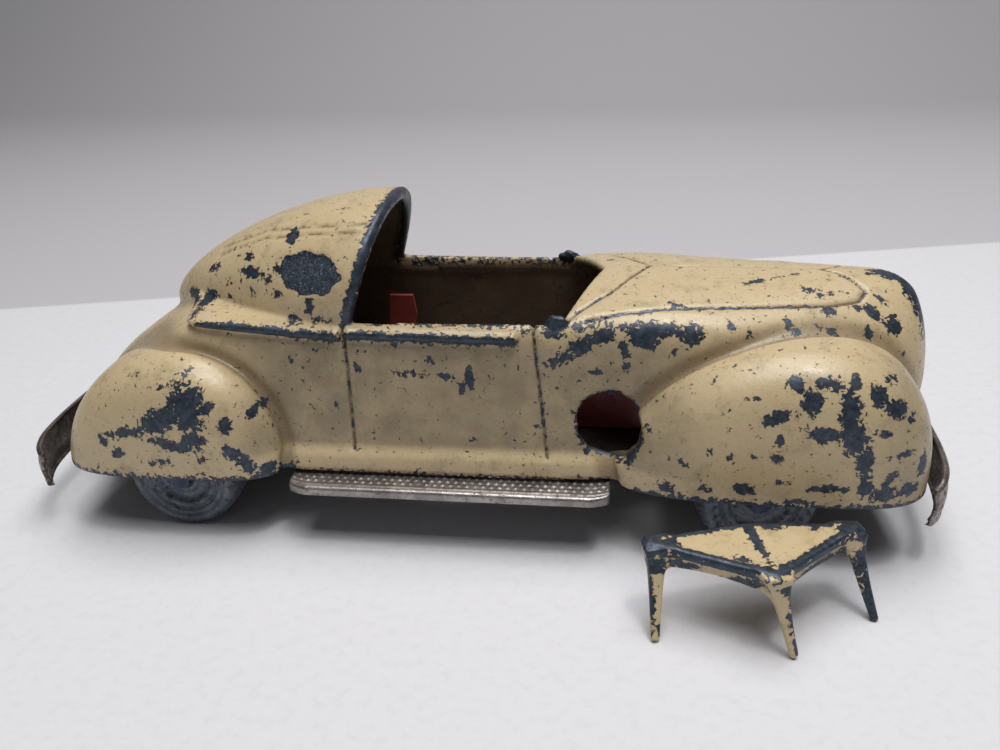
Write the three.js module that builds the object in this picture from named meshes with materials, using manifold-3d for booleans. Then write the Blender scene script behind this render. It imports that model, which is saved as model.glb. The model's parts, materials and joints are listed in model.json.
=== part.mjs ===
// A die-cast streamlined toy coupe with its mechanism: body casting, stamped chassis, steering
// front axle and a spring motor that winds as the car is pulled back.
// Millimetres. +X is the car's front, +Y its left, +Z up; the tyres stand on Z = 0.
import * as THREE from "three";
import { mergeVertices } from "three/addons/utils/BufferGeometryUtils.js";
import Module from "manifold-3d";

const wasm = await Module();
wasm.setup();

// ---------------------------------------------------------------- driving sizes

const WALL = 1.3; // casting thickness
const FIT = 0.1; // running clearance of a pin in its hole
const GAP = 0.3; // between parts that touch

const WHEEL_R = 8.3;
const WHEEL_W = 7;
const WHEEL_FACE = 22.3; // |Y| of a wheel's outer face, wheels straight
const AXLE_R = 1.1;
const REAR_X = -41.8;
const STEER_X = 38.2; // king pin
const STEER_REST = 8; // degrees to the car's left as it stands

const BODY_LOW = 10.2; // lower edge of the casting
const BELT_Z = 31.5;
const TAIL_X = -63.2;
const NOSE_X = 65.4;
const LIP_X = -15.8; // foot of the hood's front edge
const LIP_LEAN = 0.3; // how far that edge leans forward per unit of height
const COWL = { corner: 13.9, apex: 19.3 }; // windscreen foot, a V seen from above
const KEY_HOLE = { x: 20.5, z: 18.8, r: 4.4, drop: 0.8 }; // drop: hole's centre below the arbor

const PLATE_Z = 11.3; // underside of the chassis plate
const PLATE_T = 0.8;
const RIGHT_PLATE_Y = -9.4; // outer face of the motor's right plate
const LEFT_PLATE_Y = 4.6; // inner face of its left plate
const MOTOR_T = 0.8;

const MODULE = 0.5; // gear tooth size
const GEAR_Y = -7.9;
const GEAR_T = 1.6;
const TEETH = { axle: 16, train: 28, great: 36 };
const TRAIN = ["d", "c", "b", "a"]; // from the rear axle forward

// ---------------------------------------------------------------- materials

function paint(colour, roughness, metalness) {
  return new THREE.MeshStandardMaterial({ color: colour, roughness, metalness });
}

const CREAM = paint(0xc9b07c, 0.45, 0.1);
const PLATED = paint(0xaba59b, 0.35, 0.9);
const TIN = paint(0x6c6a66, 0.5, 0.8);
const STEEL = paint(0x8c8f92, 0.35, 0.9);
const BRASS = paint(0xa98b48, 0.35, 0.9);
const SPRING = paint(0x3c4450, 0.35, 0.9);
const RED = paint(0x6e201c, 0.5, 0.2);
const ZINC = paint(0x59636d, 0.55, 0.5);

// ---------------------------------------------------------------- solids

// A closed geometry as a manifold-3d solid.
function solid(geometry) {
  const bare = geometry.index ? geometry.clone() : geometry;
  bare.deleteAttribute("normal");
  bare.deleteAttribute("uv");
  const merged = mergeVertices(bare, 1e-4);
  return new wasm.Manifold(
    new wasm.Mesh({
      numProp: 3,
      vertProperties: new Float32Array(merged.attributes.position.array),
      triVerts: new Uint32Array(merged.index.array),
    }),
  );
}

function geometry(body) {
  const mesh = body.getMesh();
  const out = new THREE.BufferGeometry();
  out.setAttribute("position", new THREE.BufferAttribute(mesh.vertProperties, 3));
  out.setIndex(new THREE.BufferAttribute(mesh.triVerts, 1));
  return out;
}

function union(bodies) {
  return bodies.reduce((sum, next) => sum.add(next));
}

function cut(body, tools) {
  return tools.reduce((left, tool) => left.subtract(tool), body);
}

// A box from its low corner to its high one.
function box(x0, x1, y0, y1, z0, z1) {
  const g = new THREE.BoxGeometry(x1 - x0, y1 - y0, z1 - z0);
  g.translate((x0 + x1) / 2, (y0 + y1) / 2, (z0 + z1) / 2);
  return solid(g);
}

// Cylinders along each axis.
function rodY(x, z, r, y0, y1, sides = 12) {
  const g = new THREE.CylinderGeometry(r, r, y1 - y0, sides);
  g.translate(x, (y0 + y1) / 2, z);
  return solid(g);
}

function rodZ(x, y, r, z0, z1, sides = 12) {
  const g = new THREE.CylinderGeometry(r, r, z1 - z0, sides);
  g.rotateX(Math.PI / 2);
  g.translate(x, y, (z0 + z1) / 2);
  return solid(g);
}

function rodX(y, z, r, x0, x1, sides = 10) {
  const g = new THREE.CylinderGeometry(r, r, x1 - x0, sides);
  g.rotateZ(-Math.PI / 2);
  g.translate((x0 + x1) / 2, y, z);
  return solid(g);
}

// Extrudes an outline drawn in X and Z along Y, from y0 to y1.
function plateXZ(shape, y0, y1) {
  const g = new THREE.ExtrudeGeometry(shape, { depth: y1 - y0, bevelEnabled: false });
  g.rotateX(Math.PI / 2);
  g.translate(0, y1, 0);
  return solid(g);
}

// Extrudes an outline drawn in X and Y along Z, from z0 to z1.
function plateXY(shape, z0, z1) {
  const g = new THREE.ExtrudeGeometry(shape, { depth: z1 - z0, bevelEnabled: false });
  g.translate(0, 0, z0);
  return solid(g);
}

function outline(points) {
  return new THREE.Shape(points.map(([x, y]) => new THREE.Vector2(x, y)));
}

// A closed skin: a cylinder whose rim and caps are moved to place(angle, t), t from 0 to 1 along it.
function loft(place, middle, round, along) {
  const g = new THREE.CylinderGeometry(1, 1, 1, round, along);
  const p = g.attributes.position;
  for (let i = 0; i < p.count; i++) {
    const t = 0.5 - p.getY(i);
    const onRim = Math.hypot(p.getX(i), p.getZ(i)) > 0.5;
    const turn = Math.round((Math.atan2(p.getX(i), p.getZ(i)) * round) / (2 * Math.PI));
    const angle = (((turn + round) % round) * 2 * Math.PI) / round;
    const at = onRim ? place(angle, t) : middle(t);
    p.setXYZ(i, at.x, at.y, at.z);
  }
  const body = solid(g);
  if (body.volume() > 0) return body;
  for (let i = 0; i < g.index.count; i += 3) {
    const second = g.index.getX(i + 1);
    g.index.setX(i + 1, g.index.getX(i + 2));
    g.index.setX(i + 2, second);
  }
  return solid(g);
}

// ---------------------------------------------------------------- body shape

// Smooth curve through [x, value] points, monotone between them, flat beyond the ends.
function curve(points) {
  const xs = points.map((p) => p[0]);
  const vs = points.map((p) => p[1]);
  const last = xs.length - 1;
  const rise = xs.slice(1).map((x, i) => (vs[i + 1] - vs[i]) / (x - xs[i]));
  const slope = xs.map((_, i) => {
    if (i === 0 || i === last) return rise[Math.min(i, last - 1)];
    const product = rise[i - 1] * rise[i];
    return product <= 0 ? 0 : (2 * product) / (rise[i - 1] + rise[i]);
  });
  return (x) => {
    if (x <= xs[0]) return vs[0];
    if (x >= xs[last]) return vs[last];
    const i = xs.findIndex((value) => value > x) - 1;
    const h = xs[i + 1] - xs[i];
    const t = (x - xs[i]) / h;
    const a = vs[i] * (1 + 2 * t) * (1 - t) ** 2 + vs[i + 1] * t * t * (3 - 2 * t);
    return a + h * (slope[i] * t * (1 - t) ** 2 - slope[i + 1] * t * t * (1 - t));
  };
}

const ridgeHeight = curve([
  [-63, 10], [-61.5, 17], [-58.5, 20.8], [-54, 24.2], [-48, 28], [-42, 30.8], [-36, 32],
  [-16, 32], [8, 32.4], [19, 34.3], [27, 34.7], [42, 34.5], [58, 34.2], [63, 32.6], [66, 28],
]);
const halfWidth = curve([
  [-64, 9], [-58, 12.6], [-50, 15.6], [-41, 17.3], [-16, 16.9], [14, 16.6], [30, 16.2],
  [44, 15.2], [54, 13.2], [60, 10.6], [64, 7.4], [66, 5.5],
]);
const crownDrop = curve([
  [-62, 4], [-45, 3], [-36, 1], [8, 1], [16, 2.6], [26, 3], [40, 4.4], [50, 5.4], [60, 7],
]);
const sideFlare = curve([[-62, 2.5], [-45, 3.5], [-16, 4.6], [20, 4.6], [40, 3.5], [64, 3]]);

function smoothMax(a, b, k) {
  const h = Math.max(k - Math.abs(a - b), 0) / k;
  return Math.max(a, b) + (h * h * k) / 4;
}

function smoothMin(a, b, k) {
  return -smoothMax(-a, -b, k);
}

// Body sides, deck and bonnet, before the wings: negative inside.
function hull(x, y, z) {
  const wide = halfWidth(x);
  const down = Math.min(Math.max((BELT_Z - z) / 21, 0), 1);
  const side = Math.abs(y) - wide - sideFlare(x) * down ** 1.2;
  const deck = z - ridgeHeight(x) + crownDrop(x) * Math.min(Math.abs(y) / wide, 1.3) ** 1.9;
  const nose = x - NOSE_X + 0.012 * (z - 24) ** 2;
  return smoothMax(smoothMax(side, deck, 3), smoothMax(nose, TAIL_X - x, 1), 4);
}

// A wing's centre, reach ahead, behind, up and sideways, and how square each section is.
const FRONT_WING = {
  x: 46, z: 12, front: 17.2, rear: 26.5, high: 18, y: 13, wide: 12.8, ahead: 2.5, behind: 1.75, side: 3.6,
};
const REAR_WING = {
  x: -40.5, z: 9, front: 16.2, rear: 19.9, high: 18.7, y: 12, wide: 13.7, ahead: 2, behind: 2, side: 4,
};

function wing(w, x, y, z) {
  const power = x > w.x ? w.ahead : w.behind;
  const along = Math.abs(x - w.x) / (x > w.x ? w.front : w.rear);
  const up = Math.max(z - w.z, 0) / w.high;
  const profile = (along ** power + up ** power) ** (w.side / power);
  const out = Math.abs(Math.abs(y) - w.y) / w.wide;
  return ((profile + out ** w.side) ** (1 / w.side) - 1) * w.wide;
}

function casting(x, y, z) {
  const front = wing(FRONT_WING, x, y, z);
  const rear = wing(REAR_WING, x, y, z);
  return smoothMin(hull(x, y, z), Math.min(front, rear), 1);
}

const ROOF = { x: -14, z: 29, back: 34.5, high: 16.6, wide: 17 };

// The fixed hood behind the seats: negative inside.
function roof(x, y, z) {
  const back = Math.max(ROOF.x - x, 0) / ROOF.back;
  const up = Math.max(z - ROOF.z, 0) / ROOF.high;
  const out = Math.abs(y) / ROOF.wide;
  return (Math.pow(back ** 1.6 + (up ** 2.5 + out ** 2.5) ** (1.6 / 2.5), 1 / 1.6) - 1) * ROOF.high;
}

// How far along a ray from (x, 0, centre) a shape reaches before it is `inset` from its surface.
function reach(shape, x, centre, angle, inset) {
  const far = 60;
  let low = 0;
  let high = far;
  while (high - low > 1e-3) {
    const mid = (low + high) / 2;
    const value = shape(x, mid * Math.sin(angle), centre + mid * Math.cos(angle));
    if (value < -inset) low = mid;
    else high = mid;
  }
  return low;
}

// A shape's skin between two X, its section star-shaped round (0, centre) and cut off at floor.
function shapeLoft(shape, stations, centre, floor, inset, round) {
  const count = stations.length - 1;
  const middle = (t) => new THREE.Vector3(stations[Math.round(t * count)], 0, centre);
  const place = (angle, t) => {
    const at = middle(t);
    const down = Math.cos(angle) < 0 ? (floor - centre) / Math.cos(angle) : Infinity;
    const r = Math.min(reach(shape, at.x, centre, angle, inset), down);
    return new THREE.Vector3(at.x, r * Math.sin(angle), centre + r * Math.cos(angle));
  };
  return loft(place, middle, round, count);
}

function spread(points, steps) {
  return points.slice(1).flatMap((end, i) => {
    const start = points[i];
    const n = steps[i];
    return Array.from({ length: n }, (_, k) => start + ((end - start) * k) / n);
  }).concat(points.at(-1));
}

const POSTS = [[-55, 23.2], [57, 33.6]]; // screw posts: X and the height where they meet the casting

function bodyShell() {
  const outside = spread([TAIL_X + 0.5, -58, -24, 18, 58, NOSE_X - 0.5], [3, 12, 5, 13, 4]);
  const inside = spread([TAIL_X + 2.2, -56, -24, 18, 56, NOSE_X - 2.4], [2, 8, 4, 9, 3]);
  const roofSkin = spread([-46.5, -40, -10], [3, 8]);
  const roofHollow = spread([-44.5, -38, -9], [3, 7]);
  const shell = shapeLoft(casting, outside, 15, 3, 0, 44);
  const hollow = shapeLoft(casting, inside, 15, 1, WALL, 36);
  const lip = outline([[LIP_X - LIP_LEAN * 10, 21], [LIP_X + LIP_LEAN * 20, 51], [30, 51], [30, 21]]);
  const hood = shapeLoft(roof, roofSkin, 31, 26, 0, 32).subtract(plateXZ(lip, -30, 30));
  const hoodHollow = shapeLoft(roof, roofHollow, 31, 25, WALL, 28);
  const side = halfWidth(0) - WALL - 0.2;
  const cockpit = outline([
    [LIP_X - 12, -side], [COWL.corner, -side], [COWL.apex, 0], [COWL.corner, side],
    [LIP_X - 12, side],
  ]);
  const opening = plateXY(cockpit, 24, 60).intersect(plateXZ(lip, -30, 30));
  const below = box(-80, 80, -40, 40, -5, BODY_LOW);
  const key = rodY(KEY_HOLE.x, KEY_HOLE.z - KEY_HOLE.drop, KEY_HOLE.r, -30, -10, 28);
  const posts = POSTS.map(([x, top]) => rodZ(x, 0, 2.4, PLATE_Z + PLATE_T + GAP, top));
  const holes = POSTS.map(([x]) => rodZ(x, 0, 1.3, 0, 20));
  const skin = cut(shell.add(hood), [hollow, hoodHollow, opening]);
  return cut(union([skin, ...posts]), [below, key, ...holes]);
}

// ---------------------------------------------------------------- chassis

const LOW_RIVET = 9; // underside of the rivets below the chassis
const BOARD = { x0: -24.5, x1: 21, inner: 15, outer: 25, top: 9.8, t: 0.6, lip: 1.3 };
const BOARD_RIVETS = [-18, 14];
const BUMPER_RIVET_Z = 7.4;
const BUMPER_TABS = [{ x: 66.3, end: 1 }, { x: -66.2, end: -1 }];

// Bearing ears that hang below a plate and hold an axle.
function ear(x, y, top) {
  return box(x - 2.4, x + 2.4, y - 0.5, y + 0.5, WHEEL_R - 2.2, top);
}

function chassisPlate() {
  const sheet = outline([
    [-58, -9], [-53, -12], [-30, -12], [-28, -19], [23, -19], [25, -12], [54, -12], [59, -8],
    [59, 8], [54, 12], [25, 12], [23, 19], [-28, 19], [-30, 12], [-53, 12], [-58, 9],
  ]);
  const top = PLATE_Z + PLATE_T;
  const tongues = BUMPER_TABS.flatMap(({ x, end }) => {
    const inner = x - end * 7;
    const step = inner + end * PLATE_T;
    const tip = x - end * (GAP + 0.3);
    const span = (a, b) => [Math.min(a, b), Math.max(a, b)];
    return [
      box(...span(inner - end * 4, step), -4, 4, PLATE_Z, top),
      box(...span(inner, step), -4, 4, 8.9, top),
      box(...span(inner, tip), -4, 4, 8.9, 9.7),
      box(...span(tip - end * PLATE_T, tip), -4, 4, 5.9, 9.7),
    ];
  });
  const ears = [-11.5, 11.5].map((y) => ear(REAR_X, y, top));
  const plate = union([plateXY(sheet, PLATE_Z, top), ...ears, ...tongues]);
  const slot = box(-46.8, 31.2, GEAR_Y - 0.7, GEAR_Y + GEAR_T + 0.7, 0, 30);
  const rivets = BOARD_RIVETS.flatMap((x) => [-17, 17].map((y) => rodZ(x, y, 0.9, 0, 30)));
  const screws = POSTS.map(([x]) => rodZ(x, 0, 1.3, 10, 30));
  const tabs = BUMPER_TABS.map(({ x }) => rodX(0, BUMPER_RIVET_Z, 0.9, x - 3, x + 3));
  const pin = rodZ(STEER_X, 0, 1.5, 0, 30);
  const feet = MOTOR_FEET.flatMap((x) => [RIGHT_PLATE_Y, LEFT_PLATE_Y].map((y) => foot(x, y, 0.3)));
  const bearing = rodY(REAR_X, WHEEL_R, AXLE_R + FIT, -20, 20);
  return cut(plate, [slot, pin, bearing, ...rivets, ...screws, ...tabs, ...feet]);
}

// Plated strip below each door, its outer edge folded down.
function runningBoard(side) {
  const { x0, x1, inner, outer, top, t, lip } = BOARD;
  const plan = outline([
    [x0, outer - 3.2], [x0 + 2.4, outer], [x1 - 2.4, outer], [x1, outer - 2.6],
    [x1 - 1, inner], [x0 + 1, inner],
  ]);
  const fold = box(x0 + 2.4, x1 - 2.4, outer - t, outer, top - lip, top);
  const strip = plateXY(plan, top - t, top).add(fold);
  const holes = BOARD_RIVETS.map((x) => rodZ(x, 17, 0.9, 0, 30));
  const left = cut(strip, holes);
  return side > 0 ? left : left.mirror([0, 1, 0]);
}

// A rivet along Z: shank with a head at each end.
function rivet(x, y, low, high, shank, head, thick) {
  return union([
    rodZ(x, y, shank, low + thick / 2, high - thick / 2, 12),
    rodZ(x, y, head, low, low + thick, 12),
    rodZ(x, y, head, high - thick, high, 12),
  ]);
}

// Pressed blade whose ends wrap round the wings and droop.
const BUMPER_BOW = [[63, 22.8], [64.5, 20.8], [65.8, 17], [66.8, 10], [67.3, 0]];

function bumper(end) {
  const half = BUMPER_BOW.map(([x, y]) => new THREE.Vector3(end * x, y, 0));
  const rest = half.slice(0, -1).reverse().map((p) => new THREE.Vector3(p.x, -p.y, 0));
  const path = new THREE.CatmullRomCurve3([...half, ...rest]);
  const high = 3.2;
  const section = new THREE.Shape();
  section.moveTo(-high, 0);
  section.quadraticCurveTo(0, 1.5, high, 0);
  section.lineTo(high, -0.7);
  section.quadraticCurveTo(0, 0.8, -high, -0.7);
  const g = new THREE.ExtrudeGeometry(section, { steps: 20, curveSegments: 3, extrudePath: path });
  const p = g.attributes.position;
  for (let i = 0; i < p.count; i++) {
    const past = Math.max(Math.abs(p.getY(i)) - 16, 0);
    p.setZ(i, 9.7 + p.getZ(i) - 0.015 * past * past);
  }
  const blade = solid(g);
  return blade.subtract(rodX(0, BUMPER_RIVET_Z, 0.9, end * 66.5 - 6, end * 66.5 + 6));
}

function bumperRivet(end) {
  const face = end * BUMPER_BOW.at(-1)[0];
  const heads = [face - end * 3.2, face + end * 1.3];
  const low = Math.min(...heads);
  const high = Math.max(...heads);
  return union([
    rodX(0, BUMPER_RIVET_Z, 0.75, low + 0.2, high - 0.2),
    rodX(0, BUMPER_RIVET_Z, 1.3, low, low + 0.4),
    rodX(0, BUMPER_RIVET_Z, 1.3, high - 0.4, high),
  ]);
}

function bodyScrew(x) {
  const under = PLATE_Z - 0.1;
  const shank = rodZ(x, 0, 1.1, under - 0.2, under + 5);
  const slot = box(x - 3, x + 3, -0.3, 0.3, under - 2, under - 0.8);
  return rodZ(x, 0, 2.3, under - 1.2, under).add(shank).subtract(slot);
}

// ---------------------------------------------------------------- wheels and axles

// Turned about Y: a profile of [radius, y] that starts and ends on the axis.
function turned(profile, sides) {
  const g = new THREE.LatheGeometry(profile.map(([r, y]) => new THREE.Vector2(r, y)), sides);
  return solid(g);
}

// Cast wheel with its outer face at +Y, a ringed disc and rounded shoulders.
function wheel() {
  const w = WHEEL_W;
  const r = WHEEL_R;
  const body = turned([
    [0, 0.3], [r - 1.4, 0], [r, 1.6], [r, w - 1.6], [r - 1.4, w], [6.6, w], [6, w - 1],
    [2, w - 1.2], [1.6, w - 0.4], [0, w - 0.4],
  ], 30);
  return body.subtract(rodY(0, 0, AXLE_R + 0.05, -1, w + 1, 12));
}

function wheelMesh(name, side, material) {
  const g = geometry(wheel());
  if (side < 0) g.rotateZ(Math.PI);
  g.translate(0, side * (WHEEL_FACE - WHEEL_W), 0);
  return part(name, g, material);
}

// Axle with a peened head outside each wheel.
function axle() {
  const end = WHEEL_FACE - 0.1;
  const shaft = rodY(0, 0, AXLE_R, -end, end);
  const heads = [-1, 1].map((s) => rodY(0, 0, 1.45, Math.min(s * end, s * (end + 0.35)),
    Math.max(s * end, s * (end + 0.35))));
  return union([shaft, ...heads]);
}

const BRACKET_Z = 10.2;
const BRACKET_T = 0.8;

// Steering bracket: a strip with an ear at each end that carries the axle. Local to the king pin.
function frontBracket() {
  const strip = box(-3.4, 3.4, -11.7, 11.7, BRACKET_Z, BRACKET_Z + BRACKET_T);
  const ears = [-11.2, 11.2].map((y) => ear(0, y, BRACKET_Z + BRACKET_T));
  const bearing = rodY(0, WHEEL_R, AXLE_R + FIT, -20, 20);
  return cut(union([strip, ...ears]), [bearing, rodZ(0, 0, 1.5, 0, 30)]);
}

function kingPin() {
  const top = PLATE_Z + PLATE_T + 0.7;
  return union([
    rodZ(0, 0, 1.4, BRACKET_Z - 0.3, top - 0.2),
    rodZ(0, 0, 2.6, BRACKET_Z - 0.6, BRACKET_Z - 0.1),
    rodZ(0, 0, 2.4, top - 0.5, top),
  ]);
}

// ---------------------------------------------------------------- spring motor

const MOTOR_X = [-48.5, 34.5];
const MOTOR_FEET = [-45, -5, 29.5];
const PILLARS = [[32, 18.8], [11.4, 13.6], [-16.4, 13.5], [-46.3, 18.6]];
const MOTOR_LOW = PLATE_Z + PLATE_T + GAP;

// Tab of a motor plate through its slot in the chassis; grown by `room` it cuts the slot.
function foot(x, y, room) {
  const low = room > 0 ? 0 : PLATE_Z - 0.5;
  return box(x - 2 - room, x + 2 + room, y - room, y + MOTOR_T + room, low, MOTOR_LOW + 1);
}

// Where a gear that meshes with two others has its centre, above the line between them.
function meeting(a, reachA, b, reachB) {
  const dx = b[0] - a[0];
  const dz = b[1] - a[1];
  const apart = Math.hypot(dx, dz);
  const along = (reachA ** 2 - reachB ** 2 + apart ** 2) / (2 * apart);
  const off = Math.sqrt(Math.max(reachA ** 2 - along ** 2, 0));
  return [a[0] + (dx * along - dz * off) / apart, a[1] + (dz * along + dx * off) / apart];
}

function pitchRadius(teeth) {
  return (MODULE * teeth) / 2;
}

// The gears from the rear axle to the great wheel: centre, teeth and the angle of a tooth.
function gearLine() {
  const great = [KEY_HOLE.x, KEY_HOLE.z];
  const step = 2 * pitchRadius(TEETH.train);
  const toGreat = pitchRadius(TEETH.great) + pitchRadius(TEETH.train);
  const toAxle = pitchRadius(TEETH.axle) + pitchRadius(TEETH.train);
  const first = meeting([REAR_X, WHEEL_R], toAxle, great, toGreat + 3 * step);
  const away = Math.hypot(great[0] - first[0], great[1] - first[1]);
  const gears = [{ at: [REAR_X, WHEEL_R], teeth: TEETH.axle }];
  TRAIN.forEach((_, i) => {
    const k = (i * step) / away;
    const at = [first[0] + (great[0] - first[0]) * k, first[1] + (great[1] - first[1]) * k];
    gears.push({ at, teeth: TEETH.train });
  });
  gears.push({ at: great, teeth: TEETH.great });
  gears[0].phase = 0;
  for (let i = 1; i < gears.length; i++) {
    const from = gears[i - 1];
    const to = gears[i];
    const line = Math.atan2(to.at[1] - from.at[1], to.at[0] - from.at[0]);
    const lead = (from.phase - line) * (from.teeth / to.teeth);
    to.phase = line + Math.PI + Math.PI / to.teeth - lead;
  }
  return gears;
}

// Spur gear outline about the origin, a tooth centred on angle `phase`.
function gearShape(teeth, phase) {
  const pitch = (2 * Math.PI) / teeth;
  const r = pitchRadius(teeth);
  const root = r - 1.15 * MODULE;
  const tip = r + 0.9 * MODULE;
  const rim = [[-0.32, root], [-0.12, tip], [0.12, tip], [0.32, root]];
  const points = [];
  for (let i = 0; i < teeth; i++) {
    for (const [share, radius] of rim) {
      const a = phase + (i + share) * pitch;
      points.push([radius * Math.cos(a), radius * Math.sin(a)]);
    }
  }
  return outline(points);
}

function gearDisc(gear) {
  return plateXZ(gearShape(gear.teeth, gear.phase), GEAR_Y, GEAR_Y + GEAR_T);
}

// Arbor between the motor plates with a thinner pivot at each end.
function arbor(r) {
  const shoulder = 0.3;
  const low = RIGHT_PLATE_Y + MOTOR_T + shoulder;
  const high = LEFT_PLATE_Y - shoulder;
  return rodY(0, 0, r, low, high).add(pivots());
}

const PIVOT_R = 0.8;

function pivots() {
  return rodY(0, 0, PIVOT_R, RIGHT_PLATE_Y - 0.3, LEFT_PLATE_Y + MOTOR_T + 0.3);
}

function trainWheel(gear) {
  return gearDisc(gear).add(arbor(1.3));
}

function greatWheel(gear) {
  const hub = rodY(0, 0, 2.6, GEAR_Y + GEAR_T - 0.2, GEAR_Y + GEAR_T + 0.9, 18);
  const bore = rodY(0, 0, 1.5, -20, 20, 18);
  const windows = [0, 1, 2, 3, 4].map((i) => {
    const a = (i * 2 * Math.PI) / 5;
    return rodY(5.2 * Math.cos(a), 5.2 * Math.sin(a), 1.5, -20, 20, 12);
  });
  return cut(gearDisc(gear).add(hub), [bore, ...windows]);
}

// Spring arbor: round in its bearings, squared at the keyhole end.
function windingArbor() {
  const body = rodY(0, 0, 1.4, RIGHT_PLATE_Y + MOTOR_T + 0.2, LEFT_PLATE_Y - 0.3, 18);
  const square = box(-0.55, 0.55, RIGHT_PLATE_Y - 0.9, 0, -0.55, 0.55);
  return union([body, pivots(), square]);
}

function axlePinion(gear) {
  const bore = rodY(0, 0, AXLE_R + 0.05, -20, 20);
  const hub = rodY(0, 0, 2.1, GEAR_Y + GEAR_T - 0.2, GEAR_Y + GEAR_T + 2);
  return gearDisc(gear).add(hub).subtract(bore);
}

// Flat spiral strip round the arbor.
function mainspring() {
  const turns = 5;
  const steps = 12;
  const [r0, r1, thick] = [2.1, 6.1, 0.35];
  const spiral = (offset) => Array.from({ length: turns * steps + 1 }, (_, i) => {
    const a = (i / steps) * 2 * Math.PI;
    const r = r0 + ((r1 - r0) * i) / (turns * steps) + offset;
    return [r * Math.cos(a), r * Math.sin(a)];
  });
  const strip = [...spiral(0), ...spiral(thick).reverse()];
  return plateXZ(outline(strip), GEAR_Y + GEAR_T + 1.4, LEFT_PLATE_Y - 0.8);
}

function motorPlate(y, top, tools) {
  const [x0, x1] = MOTOR_X;
  const sheet = outline([
    [x0, MOTOR_LOW], [x1, MOTOR_LOW], [x1, 20], [x1 - 4, top], [x0 + 6, top], [x0, 19.5],
  ]);
  const feet = MOTOR_FEET.map((x) => foot(x, y, 0));
  return cut(union([plateXZ(sheet, y, y + MOTOR_T), ...feet]), tools);
}

function motorHoles(gears) {
  const bearings = gears.slice(1).map(({ at }) => rodY(at[0], at[1], PIVOT_R + FIT, -20, 20));
  const pins = PILLARS.map(([x, z]) => rodY(x, z, 0.55, -20, 20, 12));
  return [...bearings, ...pins, rodY(LEVER.x, LEVER.z, 0.9, 0, 20, 12)];
}

// Distance piece between the plates, with a riveted tenon through each.
function pillar() {
  const [low, high] = [RIGHT_PLATE_Y, LEFT_PLATE_Y + MOTOR_T];
  return rodY(0, 0, 0.9, low + MOTOR_T + 0.1, LEFT_PLATE_Y - 0.1, 12)
    .add(rodY(0, 0, 0.45, low - 0.3, high + 0.3, 12));
}

const LEVER = { x: -13.6, z: 19.2, top: 27.4 }; // stop lever's pivot, and the top of its tab

// Stop lever outside the left plate: a broad tab above, a brake tail below.
function stopLever() {
  const y = LEFT_PLATE_Y + MOTOR_T + 0.3;
  const arm = outline([
    [-1.7, -4.5], [1.2, -4.5], [1.8, 1], [2.4, 5], [1.9, LEVER.top - LEVER.z],
    [-1.9, LEVER.top - LEVER.z], [-2.2, 4], [-1.8, 0],
  ]);
  return plateXZ(arm, y, y + MOTOR_T).subtract(rodY(0, 0, 0.9, 0, 20, 12));
}

function leverPin() {
  const [low, high] = [LEFT_PLATE_Y - 0.6, LEFT_PLATE_Y + 2 * MOTOR_T + 1];
  return union([
    rodY(0, 0, 0.8, low, high, 12),
    rodY(0, 0, 1.5, low, low + 0.4, 12),
    rodY(0, 0, 1.5, high - 0.4, high, 12),
  ]);
}

// ---------------------------------------------------------------- broken-off windscreen frame

const SCREEN = { x: 38.7, y: -33, turn: 11.8, top: 10.9, header: 1, band: 3 };

// Tapered leg from the header down to its foot on the floor.
function leg(from, foot, wide, deep) {
  const middle = (t) => {
    const z = (SCREEN.top - 0.4) * (1 - t);
    return new THREE.Vector3(from[0] + (foot[0] - from[0]) * t, from[1] + (foot[1] - from[1]) * t, z);
  };
  const place = (angle, t) => {
    const at = middle(t);
    const slim = 1 - 0.45 * t;
    return new THREE.Vector3(
      at.x + (Math.sign(Math.cos(angle)) * wide * slim) / 2,
      at.y + (Math.sign(Math.sin(angle)) * deep * slim) / 2, at.z);
  };
  return loft((angle, t) => place(angle + Math.PI / 4, t), middle, 4, 3);
}

// Header of the V windscreen with its three posts. Local X runs across the car, -Y forward.
function windscreenFrame() {
  const { top, header, band } = SCREEN;
  const front = [[-13.1, 0], [0, -8.2], [13.1, 0]];
  const roofline = [[11.6, 1.7], [0, 3.1], [-11.6, 1.7]];
  const slab = plateXY(outline([...front, ...roofline]), top - header, top);
  const inner = front.map(([x, y]) => [x * 0.93, y + 1]);
  const rail = plateXY(outline([...front, ...inner.reverse()]), top - band, top - header / 2);
  const legs = [
    leg([-12.1, -0.4], [-13.3, -5.7], 2, 1.6),
    leg([0, -7.2], [2.4, -10.3], 2.4, 1.8),
    leg([12.1, -0.4], [14.9, -4.9], 2, 1.6),
  ];
  return union([slab, rail, ...legs]);
}

// ---------------------------------------------------------------- assembly

function part(name, shape, material) {
  const g = shape.isBufferGeometry ? shape : geometry(shape);
  const mesh = new THREE.Mesh(g, material);
  mesh.name = name;
  return mesh;
}

function group(x, y, z, turn, children) {
  const holder = new THREE.Group();
  holder.position.set(x, y, z);
  holder.rotation.z = THREE.MathUtils.degToRad(turn);
  holder.add(...children);
  return holder;
}

function onArbor([x, z], children) {
  return group(x, 0, z, 0, children);
}

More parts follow.
